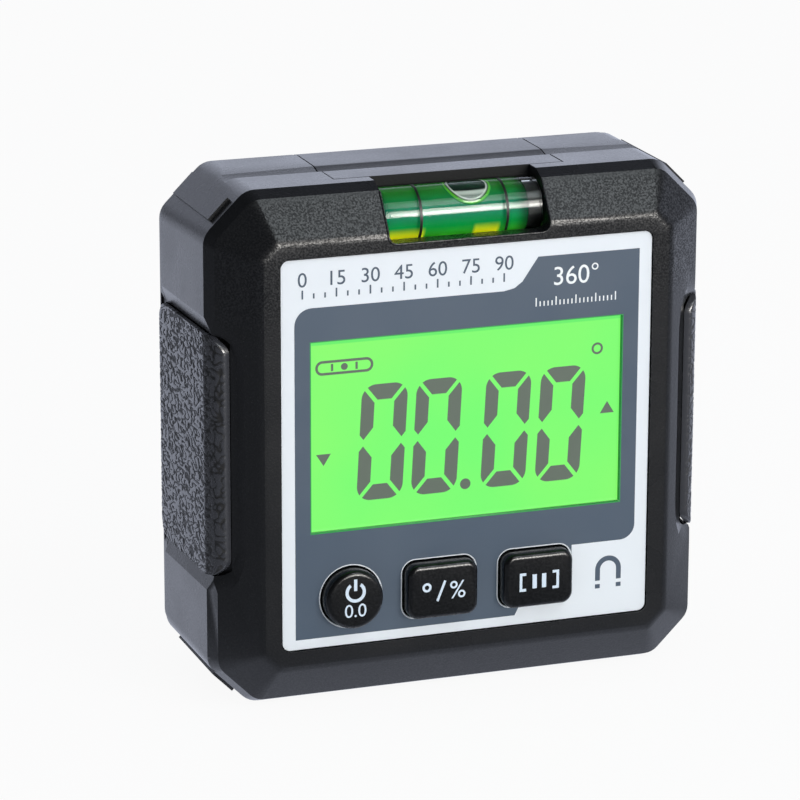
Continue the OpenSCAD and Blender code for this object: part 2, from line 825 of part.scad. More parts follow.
module vial_liquid()
    color([0.3, 0.85, 0.35])
    difference() {
        rod_x(tube_end + liquid_fit - vial_len / 2, vial_len / 2 - plug_len - liquid_fit,
            bore_r - liquid_fit, vial_y, vial_z);
        translate([bubble_x, vial_y, bubble_z]) {
            rod_x(bubble_r - bubble_len / 2, bubble_len / 2 - bubble_r, bubble_r, 0, 0);
            for (x = [bubble_r - bubble_len / 2, bubble_len / 2 - bubble_r])
                translate([x, 0, 0])
                sphere(bubble_r);
        }
    }

module vial_rings()
    color([0.03, 0.03, 0.03])
    for (x = [-mark_x, mark_x])
        difference() {
            rod_x(x - mark_w / 2, x + mark_w / 2, vial_d / 2 + 0.01 + mark_t, vial_y, vial_z);
            rod_x(x - 1, x + 1, vial_d / 2 + 0.01, vial_y, vial_z);
        }

module vial_plug()
    color([0.25, 0.25, 0.26])
    rod_x(vial_len / 2 - plug_len, vial_len / 2, bore_r - 0.02, vial_y, vial_z);

module vial_cap()
    color([0.12, 0.12, 0.13])
    block([-lid_half, cap_y, cap_z], [lid_half, valley_y, case_h]);

// Grips and magnets
module right_grip()
    color([0.05, 0.05, 0.05])
    grip_shape();

module left_grip()
    color([0.05, 0.05, 0.05])
    mirror([1, 0, 0])
    grip_shape();

module left_magnet()
    color([0.7, 0.7, 0.72])
    magnet(-magnet_x);

module right_magnet()
    color([0.7, 0.7, 0.72])
    magnet(magnet_x);

// Cells and contacts
module left_cell()
    color([0.75, 0.55, 0.2])
    cell(-cell_x, high_z - cell_l);

module right_cell()
    color([0.75, 0.55, 0.2])
    translate([0, 0, low_z + cell_l])
    mirror([0, 0, 1])
    cell(cell_x, 0);

module left_spring()
    color([0.8, 0.8, 0.82])
    translate([-cell_x, cell_y, low_z])
    coil(spring_h);

module right_spring()
    color([0.8, 0.8, 0.82])
    translate([cell_x, cell_y, high_z])
    mirror([0, 0, 1])
    coil(spring_h);

module left_contact()
    color([0.8, 0.78, 0.7])
    low_contact(-cell_x);

module right_contact()
    color([0.8, 0.78, 0.7])
    low_contact(cell_x);

module bridge_contact()
    color([0.8, 0.78, 0.7])
    block([-cell_x - contact_half, cell_y - contact_half, high_z],
        [cell_x + contact_half, cell_y + contact_half, tub_in1]);

// Screws
module case_screws()
    color([0.6, 0.6, 0.62])
    both_sides()
        for (z = boss_zs)
            difference() {
                union() {
                    rod_y(parting_y - 6, head_y + 0.1, screw_r, boss_x, z);
                    rod_y(head_y, head_y + head_h, head_r, boss_x, z);
                }
                block([boss_x - cross_half, cross_y, z - cross_w],
                    [boss_x + cross_half, rear_y, z + cross_w]);
                block([boss_x - cross_w, cross_y, z - cross_half],
                    [boss_x + cross_w, rear_y, z + cross_half]);
            }

module board_screws()
    color([0.6, 0.6, 0.62])
    both_sides()
        for (z = post_zs) {
            rod_y(board_y - 1.8, board_back + 0.1, board_screw_r, post_x, z);
            rod_y(board_back, board_back + 0.9, 1.4, post_x, z);
        }

front_case();
rear_cover();
battery_door();
front_panel();
lcd_glass();
backlight();
lcd_connector();
display_frame();
circuit_board();
controller_chip();
tilt_sensor();
crystal();
power_switch();
unit_switch();
hold_switch();
power_plunger();
unit_plunger();
hold_plunger();
power_button();
unit_button();
hold_button();
vial_tube();
vial_liquid();
vial_rings();
vial_plug();
vial_cap();
left_grip();
right_grip();
left_magnet();
right_magnet();
left_cell();
right_cell();
left_spring();
right_spring();
left_contact();
right_contact();
bridge_contact();
case_screws();
board_screws();
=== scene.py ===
from math import cos, pi, radians, sin, sqrt

import bmesh
import bpy
from mathutils import Matrix, Vector, noise


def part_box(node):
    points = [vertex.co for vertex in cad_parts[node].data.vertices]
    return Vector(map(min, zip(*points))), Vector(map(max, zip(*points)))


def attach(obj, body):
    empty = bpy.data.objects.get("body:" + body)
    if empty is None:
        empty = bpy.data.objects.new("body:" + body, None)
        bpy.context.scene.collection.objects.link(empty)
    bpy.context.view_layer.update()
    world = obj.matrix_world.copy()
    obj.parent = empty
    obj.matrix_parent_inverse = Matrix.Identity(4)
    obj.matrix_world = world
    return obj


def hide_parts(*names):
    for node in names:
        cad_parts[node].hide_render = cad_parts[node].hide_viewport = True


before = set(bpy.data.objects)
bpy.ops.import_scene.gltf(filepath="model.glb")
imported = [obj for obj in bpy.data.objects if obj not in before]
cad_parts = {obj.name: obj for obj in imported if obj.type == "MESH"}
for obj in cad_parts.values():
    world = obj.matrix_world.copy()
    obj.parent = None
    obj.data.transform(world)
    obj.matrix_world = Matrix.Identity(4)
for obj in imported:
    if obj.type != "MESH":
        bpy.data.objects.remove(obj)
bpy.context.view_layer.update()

# Looks of a pocket digital angle gauge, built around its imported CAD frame.
# Lengths are in millimetres, and MM turns them into the metres of the scene.

MM = 0.001

# Places taken from the frame


def node_box(node):
    """Lowest and highest corner of a CAD node."""
    lo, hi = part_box(node)
    return Vector(lo) / MM, Vector(hi) / MM


def middle(box):
    return (box[0] + box[1]) / 2


PANEL = node_box("front_panel")
GLASS = node_box("lcd_glass")
POWER = node_box("power_button")
UNIT = node_box("unit_button")
HOLD = node_box("hold_button")
VIAL = node_box("vial_tube")
CAP = node_box("vial_cap")
LIQUID = node_box("vial_liquid")
GRIP = node_box("right_grip")
CELL = node_box("left_cell")
POWER_C, UNIT_C, HOLD_C, VIAL_C = middle(POWER), middle(UNIT), middle(HOLD), middle(VIAL)

# Colour and shader helpers

# Sockets of a Mix node that mixes colours
MIX_SHARE, MIX_FIRST, MIX_SECOND, MIX_RESULT = 0, 6, 7, 2


def linear(*channels):
    """Display colour from 0 to 255 as the linear value that a shader takes."""
    out = []
    for c in channels:
        c /= 255
        out.append(c / 12.92 if c <= 0.04045 else ((c + 0.055) / 1.055) ** 2.4)
    return (*out, 1.0)


def feed(tree, socket, value):
    """Links a socket to another node's output, or sets it to a plain value."""
    if isinstance(value, bpy.types.NodeSocket):
        tree.links.new(value, socket)
    else:
        socket.default_value = value


def new_group(name, inputs, outputs):
    """Shader node group with float outputs; inputs map each name to its default, or to None for a vector."""
    group = bpy.data.node_groups.new(name, "ShaderNodeTree")
    for label, value in inputs.items():
        kind = "NodeSocketVector" if value is None else "NodeSocketFloat"
        socket = group.interface.new_socket(label, in_out="INPUT", socket_type=kind)
        if value is not None:
            socket.default_value = value
    for label in outputs:
        group.interface.new_socket(label, in_out="OUTPUT", socket_type="NodeSocketFloat")
    return group, group.nodes.new("NodeGroupInput"), group.nodes.new("NodeGroupOutput")


def place_group(tree, group):
    node = tree.nodes.new("ShaderNodeGroup")
    node.node_tree = group
    return node


def math_node(tree, operation, first, second=None):
    """Math node; returns its output."""
    node = tree.nodes.new("ShaderNodeMath")
    node.operation = operation
    feed(tree, node.inputs[0], first)
    if second is not None:
        feed(tree, node.inputs[1], second)
    return node.outputs[0]


def range_node(tree, value, start, end, low, high, smooth=False):
    """Map Range node that turns start to end into low to high; returns its output."""
    node = tree.nodes.new("ShaderNodeMapRange")
    node.interpolation_type = "SMOOTHSTEP" if smooth else "LINEAR"
    given = {"Value": value, "From Min": start, "From Max": end, "To Min": low, "To Max": high}
    for label, entry in given.items():
        feed(tree, node.inputs[label], entry)
    return node.outputs["Result"]


def fade(tree, axis, start, end, low=0.0, high=1.0, smooth=False):
    """Runs from low to high between two places along an axis."""
    return range_node(tree, axis, start * MM, end * MM, low, high, smooth)


def noise_node(tree, vector, scale, detail):
    node = tree.nodes.new("ShaderNodeTexNoise")
    node.inputs["Detail"].default_value = detail
    tree.links.new(vector, node.inputs["Vector"])
    feed(tree, node.inputs["Scale"], scale)
    return node.outputs["Fac"]


def ramp_node(tree, value, stops):
    """Colour ramp with (position, colour) stops; returns its colour."""
    node = tree.nodes.new("ShaderNodeValToRGB")
    marks = node.color_ramp.elements
    while len(marks) < len(stops):
        marks.new(0.5)
    for mark, (position, colour) in zip(marks, stops):
        mark.position = position
        mark.color = colour
    tree.links.new(value, node.inputs["Fac"])
    return node.outputs["Color"]


def mix_node(tree, share, first, second):
    """Mix of two colours; returns its result."""
    node = tree.nodes.new("ShaderNodeMix")
    node.data_type = "RGBA"
    feed(tree, node.inputs[MIX_SHARE], share)
    feed(tree, node.inputs[MIX_FIRST], first)
    feed(tree, node.inputs[MIX_SECOND], second)
    return node.outputs[MIX_RESULT]


def attribute_node(tree, name):
    """Value that a piece's own mesh holds at each place."""
    node = tree.nodes.new("ShaderNodeAttribute")
    node.attribute_name = name
    return node.outputs["Fac"]


def object_axes(tree):
    parts = tree.nodes.new("ShaderNodeSeparateXYZ")
    tree.links.new(tree.nodes.new("ShaderNodeTexCoord").outputs["Object"], parts.inputs[0])
    return parts.outputs


# Moulded grain

PATCHES_PER_METRE = 140
PATCH_SPAN, GLINT_SPAN = (0.3, 0.7), (0.4, 0.64)


def grain_group():
    """Fine moulded grain: a height for bump, glints for a coat, and a slow patchiness for roughness."""
    inputs = {"Grains per metre": 4000, "Roughness low": 0.4, "Roughness high": 0.5, "Glint": 0.0}
    group, given, result = new_group("moulded_grain", inputs, ("Height", "Coat", "Roughness"))
    place = group.nodes.new("ShaderNodeTexCoord").outputs["Object"]
    fine = noise_node(group, place, given.outputs["Grains per metre"], 1)
    patch = noise_node(group, place, PATCHES_PER_METRE, 4)
    spread = range_node(group, patch, *PATCH_SPAN, given.outputs["Roughness low"],
                        given.outputs["Roughness high"])
    half = math_node(group, "MULTIPLY", given.outputs["Glint"], 0.5)
    coat = range_node(group, fine, *GLINT_SPAN, math_node(group, "SUBTRACT", 0.5, half),
                      math_node(group, "ADD", 0.5, half))
    group.links.new(fine, result.inputs["Height"])
    group.links.new(coat, result.inputs["Coat"])
    group.links.new(spread, result.inputs["Roughness"])
    return group


# White backdrop: a sweep that directions meet, and a bright wedge on the floor, which is in metres

SWEEP_LEAN = 0.65
SWEEP_EDGE = (0.1, 0.8)
SWEEP_DARK, SWEEP_BRIGHT = 0.2, 1.12
SWEEP_TOP, SWEEP_ROOF = (0.4, 0.75), 0.07
SWEEP_LEFT, SWEEP_LEFT_DIM = (-0.4, 0.05), 0.3
WEDGE_SPREAD = 0.45
WEDGE_HALF, WEDGE_FRONT = 0.028, -0.006
WEDGE_FADE = (-0.004, 0.03)
WEDGE_NEAR, WEDGE_FAR, WEDGE_REACH = 0.88, 1.02, 0.12


def backdrop_group():
    """Brightness of the backdrop, seen along a direction or at a place on the floor."""
    group, given, result = new_group("backdrop", {"Direction": None, "Floor": 0.0}, ("Light",))
    parts = group.nodes.new("ShaderNodeSeparateXYZ")
    group.links.new(given.outputs["Direction"], parts.inputs[0])
    x, y, z = parts.outputs
    flat = math_node(group, "SQRT", math_node(
        group, "ADD", math_node(group, "MULTIPLY", x, x), math_node(group, "MULTIPLY", y, y)))
    toward = math_node(group, "ADD", y, math_node(group, "MULTIPLY", x, SWEEP_LEAN))
    share = math_node(group, "DIVIDE", toward, math_node(group, "MAXIMUM", flat, 0.001))
    sweep = range_node(group, share, *SWEEP_EDGE, SWEEP_DARK, SWEEP_BRIGHT, smooth=True)
    low = range_node(group, z, *SWEEP_TOP, 1.0, SWEEP_ROOF, smooth=True)
    left = range_node(group, x, *SWEEP_LEFT, SWEEP_LEFT_DIM, 1.0)
    shaded = math_node(group, "MULTIPLY", math_node(group, "MULTIPLY", sweep, low), left)
    behind = math_node(group, "MULTIPLY", math_node(group, "MAXIMUM", y, 0.0), WEDGE_SPREAD)
    aside = math_node(group, "SUBTRACT", math_node(group, "ABSOLUTE", x), behind)
    ahead = math_node(group, "SUBTRACT", WEDGE_FRONT, y)
    off = math_node(group, "MAXIMUM", math_node(group, "SUBTRACT", aside, WEDGE_HALF), ahead)
    bright = range_node(group, y, 0.0, WEDGE_REACH, WEDGE_NEAR, WEDGE_FAR)
    near = range_node(group, off, *WEDGE_FADE, bright, 0.0, smooth=True)
    wedge = math_node(group, "MULTIPLY", near, given.outputs["Floor"])
    group.links.new(math_node(group, "MAXIMUM", shaded, wedge), result.inputs["Light"])
    return group


GRAIN = grain_group()
BACKDROP = backdrop_group()

# Finishes

ROUGH_SPREAD = 0.05
CASE_COLOUR = linear(20, 21, 23)
CALM_GLINT = 0.15
GRAINY_FROM, GRAINY_FRONT = (40, 47), (-9.5, -8.5)
CAP_ROUND, WALL_ROUGH = 0.08, 0.7
# Edges of the painted recess shade on the display
LIT_TOP, LIT_LEFT, LIT_EDGE = 40.45, -17.5, 0.1
# Painted yellow light low in the vial liquid, and painted shade towards its plug end
GLOW_SPANS, GLOW_BLUR, GLOW_HEIGHT = ((-8.3, -4.3), (1.4, 4.2)), 0.2, (0.12, 0.34)
PLUG_SHADE, PLUG_DIM = (5.6, 7.6), 0.85
# Where the bubble's painted glint and lime rim begin
RIM_START = (0.74, 0.8)
CELL_COLOUR, CELL_BARE = linear(168, 118, 52), (2.6, 2.5)


def finish_material(name, colour, roughness=0.5, grains=0, bump=0.0, bump_depth=0.03, glint=0.0, **sockets):
    """Principled finish. With grains set, the moulded grain drives its bump, coat and roughness."""
    material = bpy.data.materials.new(name)
    material.use_nodes = True
    tree = material.node_tree
    shader = tree.nodes["Principled BSDF"]
    shader.inputs["Base Color"].default_value = colour
    shader.inputs["Roughness"].default_value = roughness
    for socket, value in sockets.items():
        shader.inputs[socket.replace("_", " ")].default_value = value
    if grains:
        grain = place_group(tree, GRAIN)
        grain.inputs["Grains per metre"].default_value = grains
        grain.inputs["Roughness low"].default_value = roughness - ROUGH_SPREAD
        grain.inputs["Roughness high"].default_value = roughness + ROUGH_SPREAD
        rise = tree.nodes.new("ShaderNodeBump")
        rise.inputs["Strength"].default_value = bump
        rise.inputs["Distance"].default_value = bump_depth * MM
        tree.links.new(grain.outputs["Height"], rise.inputs["Height"])
        tree.links.new(rise.outputs["Normal"], shader.inputs["Normal"])
        tree.links.new(grain.outputs["Roughness"], shader.inputs["Roughness"])
        if glint:
            grain.inputs["Glint"].default_value = glint
            shader.inputs["Coat Roughness"].default_value = roughness
            tree.links.new(grain.outputs["Coat"], shader.inputs["Coat Weight"])
    return material


def colour_finish(material, value, *sockets):
    """Links a value to sockets of a finish's shader."""
    tree = material.node_tree
    for socket in sockets:
        tree.links.new(value, tree.nodes["Principled BSDF"].inputs[socket])
    return material


def case_finish():
    """Case plastic: its grain glints on the upper front and is calm on the other sides."""
    material = finish_material("case_black", CASE_COLOUR, 0.28, grains=4800, bump=0.3, bump_depth=0.08,
                               glint=1.0, Specular_IOR_Level=0.25)
    tree = material.node_tree
    x, y, z = object_axes(tree)
    high = fade(tree, z, *GRAINY_FROM, smooth=True)
    front = fade(tree, y, *GRAINY_FRONT, 1.0, 0.0, smooth=True)
    grainy = math_node(tree, "MULTIPLY", high, front)
    grain = next(node for node in tree.nodes if node.type == "GROUP")
    tree.links.new(range_node(tree, grainy, 0.0, 1.0, CALM_GLINT, 1.0), grain.inputs["Glint"])
    return material


def cap_finish():
    """Cap plastic: satin on top like the case, and dull on the low wall that it turns to the vial."""
    material = finish_material("cap_black", CASE_COLOUR, 0.28, grains=4800, bump=0.3, bump_depth=0.08,
                               glint=CALM_GLINT, Specular_IOR_Level=0.25)
    tree = material.node_tree
    shader = tree.nodes["Principled BSDF"]
    x, y, z = object_axes(tree)
    wall_y = CAP[0][1]
    top = fade(tree, y, wall_y + CAP_ROUND / 4, wall_y + CAP_ROUND, smooth=True)
    for socket, dull in (("Coat Weight", 0.0), ("Roughness", WALL_ROUGH)):
        plain = shader.inputs[socket].links[0].from_socket
        tree.links.new(range_node(tree, top, 0.0, 1.0, dull, plain), shader.inputs[socket])
    return material


def display_finish():
    """Lit display: a green glow that is a little uneven, with painted recess shade darkening its upper and
    left margin.
    """
    material = finish_material("display_green", linear(40, 80, 36), 0.2, Emission_Strength=0.9)
    tree = material.node_tree
    x, y, z = object_axes(tree)
    place = tree.nodes.new("ShaderNodeTexCoord").outputs["Object"]
    cloud = noise_node(tree, place, 45, 2)
    glow = ramp_node(tree, cloud, [(0.3, linear(120, 255, 116)), (0.7, linear(144, 255, 112))])
    # Painted shade of the window's recess: the glow turns a darker green along the top and left edges.
    upper = fade(tree, z, LIT_TOP, LIT_TOP + LIT_EDGE)
    outer = fade(tree, x, LIT_LEFT - LIT_EDGE, LIT_LEFT, 1.0, 0.0)
    recess_shade = math_node(tree, "MAXIMUM", upper, outer)
    return colour_finish(material, mix_node(tree, recess_shade, glow, linear(106, 242, 110)), "Emission Color")


def liquid_finish():
    """Dyed vial liquid: emerald, with painted light and shade: lime low and darker high, yellow light low in
    places, shade at the plug end, and a faint glow.
    """
    # Painted glow: the liquid emits its own colour faintly, though it is no lamp.
    material = finish_material("vial_green", linear(0, 120, 62), 0.15, Emission_Strength=0.27)
    tree = material.node_tree
    x, y, z = object_axes(tree)
    height = fade(tree, z, LIQUID[0][2], LIQUID[1][2])
    # Painted light and shade: the green turns lime towards the bottom and darker towards the top.
    body = ramp_node(tree, height, [
        (0.0, linear(70, 190, 20)), (0.3, linear(0, 150, 62)),
        (0.62, linear(0, 118, 94)), (1.0, linear(30, 120, 30))])
    # Painted light: yellow patches low in the liquid, where light gathers.
    low = range_node(tree, height, *GLOW_HEIGHT, 1.0, 0.0, smooth=True)
    painted_light_patches = 0.0
    for start, end in GLOW_SPANS:
        begun = fade(tree, x, start - GLOW_BLUR, start + GLOW_BLUR)
        not_over = fade(tree, x, end - GLOW_BLUR, end + GLOW_BLUR, 1.0, 0.0)
        painted_light_patches = math_node(tree, "MAXIMUM", painted_light_patches, math_node(tree, "MULTIPLY", begun, not_over))
    glow = math_node(tree, "MULTIPLY", low, painted_light_patches)
    lit = mix_node(tree, glow, body, linear(236, 240, 30))
    # Painted shade: the liquid darkens towards the plug.
    painted_plug_shade = fade(tree, x, *PLUG_SHADE, 0.0, PLUG_DIM, smooth=True)
    colour = mix_node(tree, painted_plug_shade, lit, linear(4, 18, 12))
    return colour_finish(material, colour, "Base Color", "Emission Color")


def bubble_finish():
    """Air bubble, its look painted: grey shading inside, a pale reflected band, a white glint, a lime rim
    for the liquid's bending, and a faint glow.
    """
    # Painted glow: the bubble emits its own painted colours faintly.
    material = finish_material("vial_air", linear(74, 96, 86), 0.1, Emission_Strength=0.25)
    tree = material.node_tree
    rim = attribute_node(tree, "rim")
    # Painted reflections and shading: grey inside, a pale reflected band high up, dark above it.
    inside = ramp_node(tree, attribute_node(tree, "rise"), [
        (0.0, linear(120, 134, 126)), (0.2, linear(70, 86, 78)), (0.5, linear(104, 118, 110)),
        (0.62, linear(186, 198, 192)), (0.7, linear(180, 192, 186)), (0.76, linear(18, 36, 28)),
        (1.0, linear(24, 60, 40))])
    # Painted glint and refraction: a white glint near the rim, then lime where the liquid bends light.
    edge = ramp_node(tree, rim, [
        (0.78, linear(214, 224, 218)), (0.85, linear(30, 66, 44)),
        (0.92, linear(96, 196, 56)), (1.0, linear(0, 128, 70))])
    outer = range_node(tree, rim, *RIM_START, 0.0, 1.0, smooth=True)
    return colour_finish(material, mix_node(tree, outer, inside, edge), "Base Color", "Emission Color")


def rubber_finish():
    """Grip rubber: satin plateaus, with dull cracks where the leather grain sinks, painted dark as shade in
    them.
    """
    material = finish_material("grip_rubber", linear(26, 26, 28), 0.42, grains=5200, bump=0.1,
                               Specular_IOR_Level=1.0)
    tree = material.node_tree
    crack = attribute_node(tree, "crackle")
    # Painted shade: the colour darkens in the sunken cracks.
    colour = ramp_node(tree, crack, [(0.15, linear(52, 53, 58)), (0.7, linear(8, 8, 9))])
    colour_finish(material, colour, "Base Color")
    return colour_finish(material, range_node(tree, crack, 0.1, 0.8, 0.26, 0.55), "Roughness")


def cell_finish():
    """Dry cell: a coloured sleeve between bare metal ends."""
    material = finish_material("cell_wrap", CELL_COLOUR, 0.3, grains=700, bump=0.03)
    tree = material.node_tree
    x, y, z = object_axes(tree)
    half = (CELL[1][2] - CELL[0][2]) / 2
    off = math_node(tree, "ABSOLUTE", math_node(tree, "SUBTRACT", z, (CELL[0][2] + half) * MM))
    metal = fade(tree, off, half - CELL_BARE[0], half - CELL_BARE[1])
    colour = ramp_node(tree, metal, [(0.0, CELL_COLOUR), (1.0, linear(190, 190, 188))])
    colour_finish(material, colour, "Base Color")
    return colour_finish(material, metal, "Metallic")


CASE_BLACK = case_finish()
CAP_BLACK = cap_finish()
COVER_BLACK = finish_material("cover_black", CASE_COLOUR, 0.32, grains=4800, bump=0.2, bump_depth=0.08,
                              glint=CALM_GLINT, Specular_IOR_Level=0.25)
PANEL_WHITE = finish_material("panel_white", linear(231, 236, 241), 0.35, grains=900, bump=0.02)
SLATE_INK = finish_material("slate_ink", linear(72, 87, 104), 0.4, grains=900, bump=0.02)
KEY_BLACK = finish_material("key_black", linear(9, 10, 11), 0.24, grains=4800, bump=0.3,
                            glint=0.7, Specular_IOR_Level=0.25)
KEY_INK = finish_material("key_ink", linear(214, 228, 242), 0.4, grains=900, bump=0.02)
TAB_INK = finish_material("tab_ink", linear(238, 241, 242), 0.4, grains=900, bump=0.02)
# Painted light and shade: the display's green light on the shaded wall of its recess.
LINING_PAINTED_GLOW = finish_material("lining_painted_glow", linear(30, 150, 68), 0.4, grains=900, bump=0.02)
SEGMENT_INK = finish_material("segment_ink", linear(90, 103, 90), 0.5, grains=900, bump=0.02)
RING_BLACK = finish_material("ring_black", linear(8, 8, 8), 0.4, grains=2000, bump=0.05)
STEEL = finish_material("screw_steel", linear(150, 150, 152), 0.35, grains=2000, bump=0.1, Metallic=1.0)
NICKEL = finish_material("magnet_nickel", linear(190, 190, 188), 0.24, grains=1500, bump=0.05, Metallic=1.0)
CONTACT = finish_material("contact_nickel", linear(196, 192, 182), 0.3, grains=1500, bump=0.05, Metallic=1.0)
BOARD_GREEN = finish_material("board_green", linear(28, 92, 58), 0.4, grains=1200, bump=0.2)
CHIP_BLACK = finish_material("chip_black", linear(30, 30, 32), 0.5, grains=4000, bump=0.3)
PALE_MOULD = finish_material("pale_mould", linear(205, 208, 200), 0.4, grains=1500, bump=0.1)
STRIP_PINK = finish_material("strip_pink", linear(188, 128, 142), 0.6, grains=2500, bump=0.2)
VIAL_CLEAR = finish_material("vial_clear", (0.96, 1, 0.97, 1), 0.05, Transmission_Weight=1.0, IOR=1.32)
DISPLAY_GREEN = display_finish()
VIAL_GREEN = liquid_finish()
BUBBLE = bubble_finish()
GRIP_RUBBER = rubber_finish()
CELL_WRAP = cell_finish()

# Mesh helpers

MERGE, FLAT_TURN = 0.002, 0.6
CUT_MERGE = 0.001


def smooth_step(low, high, value):
    t = min(max((value - low) / (high - low), 0), 1)
    return t * t * (3 - 2 * t)


def show(name, bm, material, body, replaces=None):
    """Links a finished bmesh as a piece that rides on a CAD body."""
    mesh = bpy.data.meshes.new(name)
    bm.to_mesh(mesh)
    bm.free()
    mesh.materials.append(material)
    piece = bpy.data.objects.new(name, mesh)
    bpy.context.scene.collection.objects.link(piece)
    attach(piece, body)
    if replaces:
        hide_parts(replaces)
    return piece


def round_shade(bm, angle):
    """Smooth shading that stays crisp across edges sharper than angle."""
    for face in bm.faces:
        face.smooth = True
    for edge in bm.edges:
        edge.smooth = edge.calc_face_angle(pi) < angle


def cad_copy(node):
    """Merged copy of a CAD node's mesh, with flat regions dissolved."""
    bm = bmesh.new()
    bm.from_mesh(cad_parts[node].data)
    bmesh.ops.remove_doubles(bm, verts=bm.verts, dist=MERGE * MM)
    bmesh.ops.dissolve_limit(bm, angle_limit=radians(FLAT_TURN), verts=bm.verts, edges=bm.edges)
    return bm


def round_edges(bm, offset, shortest, least, most, segments):
    """Rounds the convex edges over a shortest length that turn by least to most degrees."""
    edges = [e for e in bm.edges if len(e.link_faces) == 2 and e.is_convex
             and radians(least) < e.calc_face_angle(0) < radians(most) and e.calc_length() > shortest * MM]
    bmesh.ops.bevel(bm, geom=edges, offset=offset * MM, offset_type="OFFSET", segments=segments,
                    profile=0.5, affect="EDGES", clamp_overlap=True, material=-1)


def cut_faces(bm, faces, place, normal):
    """Bisects faces along a plane; returns the new vertices and edges."""
    edges = dict.fromkeys(e for f in faces for e in f.edges)
    verts = dict.fromkeys(v for f in faces for v in f.verts)
    cut = bmesh.ops.bisect_plane(bm, geom=[*faces, *edges, *verts], dist=CUT_MERGE * MM,
                                 plane_co=Vector(place) * MM, plane_no=normal)
    return cut["geom_cut"]


# Case skins: a slope behind the valley of the top face, and mitres between the front slopes

CASE_HALF, CASE_TOP, CORNER_CUT = 28.2, 57.0, 4.65
VALLEY_LINES = ((-0.42, -0.09), (1.3, 0.187))
VALLEY_DEEP, VALLEY_ENDS, KNEE_ROUND = 0.7, (22.6, 23.6), 0.2
TOP_LEAN = 0.3
MITRES = ((22.5, 0, CORNER_CUT), (67.5, CORNER_CUT, 0))
MITRE_BLEND = 0.9
FRONT_LEAN = (-0.995, -0.15)
SHARP_TURN = 35


def steepen_valley(bm):
    """Shifts two lines across the top face, so that its slope starts steep and levels off."""
    floor = (CASE_TOP - VALLEY_DEEP) * MM
    lines = []
    for y, lift in VALLEY_LINES:
        slope = [f for f in bm.faces if f.normal.z > TOP_LEAN and min(v.co.z for v in f.verts) > floor]
        lines.append((lift, cut_faces(bm, slope, (0, y, 0), (0, 1, 0))))
    for lift, line in lines:
        for vert in line:
            if isinstance(vert, bmesh.types.BMVert):
                vert.co.z += lift * MM * (1 - smooth_step(*VALLEY_ENDS, abs(vert.co.x) / MM))
    knee = [e for e in lines[-1][1] if isinstance(e, bmesh.types.BMEdge)]
    bmesh.ops.bevel(bm, geom=knee, offset=KNEE_ROUND * MM, offset_type="OFFSET", segments=2, profile=0.5,
                    affect="EDGES", clamp_overlap=True, material=-1)


def blend_mitres(bm):
    """Cuts the sloping front on both sides of each mitre, so that its shading turns over that width."""
    for across in (-1, 1):
        for up, end in ((-1, 0), (1, CASE_TOP)):
            for lean, inset_x, inset_z in MITRES:
                corner = Vector((across * (CASE_HALF - inset_x), 0, end - up * inset_z))
                aside = Vector((-across * sin(radians(lean)), 0, up * cos(radians(lean))))
                for offset in (-MITRE_BLEND, MITRE_BLEND):
                    slopes = [f for f in bm.faces if FRONT_LEAN[0] < f.normal.y < FRONT_LEAN[1]]
                    cut_faces(bm, slopes, corner + offset * aside, aside)


def dress(node, material, body, soften=0.0, broad=0.0, valley=False):
    """Stands a smooth copy in for a CAD node: soften rounds its edges, broad the long mild ones more."""
    bm = cad_copy(node)
    if broad:
        round_edges(bm, broad, shortest=9.0, least=12, most=60, segments=4)
    if soften:
        round_edges(bm, soften, shortest=3 * soften, least=18, most=170, segments=2)
    bm.normal_update()
    if broad:
        blend_mitres(bm)
    if valley:
        steepen_valley(bm)
    bmesh.ops.triangulate(bm, faces=[f for f in bm.faces if len(f.verts) > 4])
    round_shade(bm, radians(SHARP_TURN))
    piece = show(node + "_skin", bm, material, body, replaces=node)
    if soften:
        flat_faces = piece.modifiers.new("flat_faces", "WEIGHTED_NORMAL")
        flat_faces.keep_sharp = True


def paint(node, material):
    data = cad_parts[node].data
    data.materials.clear()
    data.materials.append(material)


# Flat print: closed outlines in x and z, set on a plane of y

PRINT_RISE, PRINT_MERGE = 0.02, 0.0005
LETTER_SHARE = 0.69


def arc(x, z, r, start, end, steps=10):
    angles = [radians(start + (end - start) * i / steps) for i in range(steps + 1)]
    return [(x + r * cos(angle), z + r * sin(angle)) for angle in angles]


def circle(x, z, r, steps=48):
    return arc(x, z, r, 0, 360, steps)[:-1]


def round_rect(x0, x1, z0, z1, r):
    return (arc(x1 - r, z1 - r, r, 0, 90) + arc(x0 + r, z1 - r, r, 90, 180)
            + arc(x0 + r, z0 + r, r, 180, 270) + arc(x1 - r, z0 + r, r, 270, 360))


def box_loop(x0, x1, z0, z1):
    return [(x0, z0), (x1, z0), (x1, z1), (x0, z1)]


def ring_arc(x, z, r, start, end, stroke):
    """Closed outline of an open ring."""
    return arc(x, z, r + stroke / 2, start, end, 24) + arc(x, z, r - stroke / 2, end, start, 24)


def bar(x0, z0, x1, z1, stroke):
    """Closed outline of a straight stroke."""
    run = sqrt((x1 - x0) ** 2 + (z1 - z0) ** 2)
    nx, nz = (z0 - z1) / run * stroke / 2, (x1 - x0) / run * stroke / 2
    return [(x0 + nx, z0 + nz), (x1 + nx, z1 + nz), (x1 - nx, z1 - nz), (x0 - nx, z0 - nz)]


def curve_mesh(curve):
    """Turns a curve's data into a mesh and removes the curve."""
    holder = bpy.data.objects.new("holder", curve)
    bpy.context.scene.collection.objects.link(holder)
    bpy.context.view_layer.update()
    mesh = bpy.data.meshes.new_from_object(holder.evaluated_get(bpy.context.evaluated_depsgraph_get()))
    bpy.data.objects.remove(holder)
    bpy.data.curves.remove(curve)
    return mesh


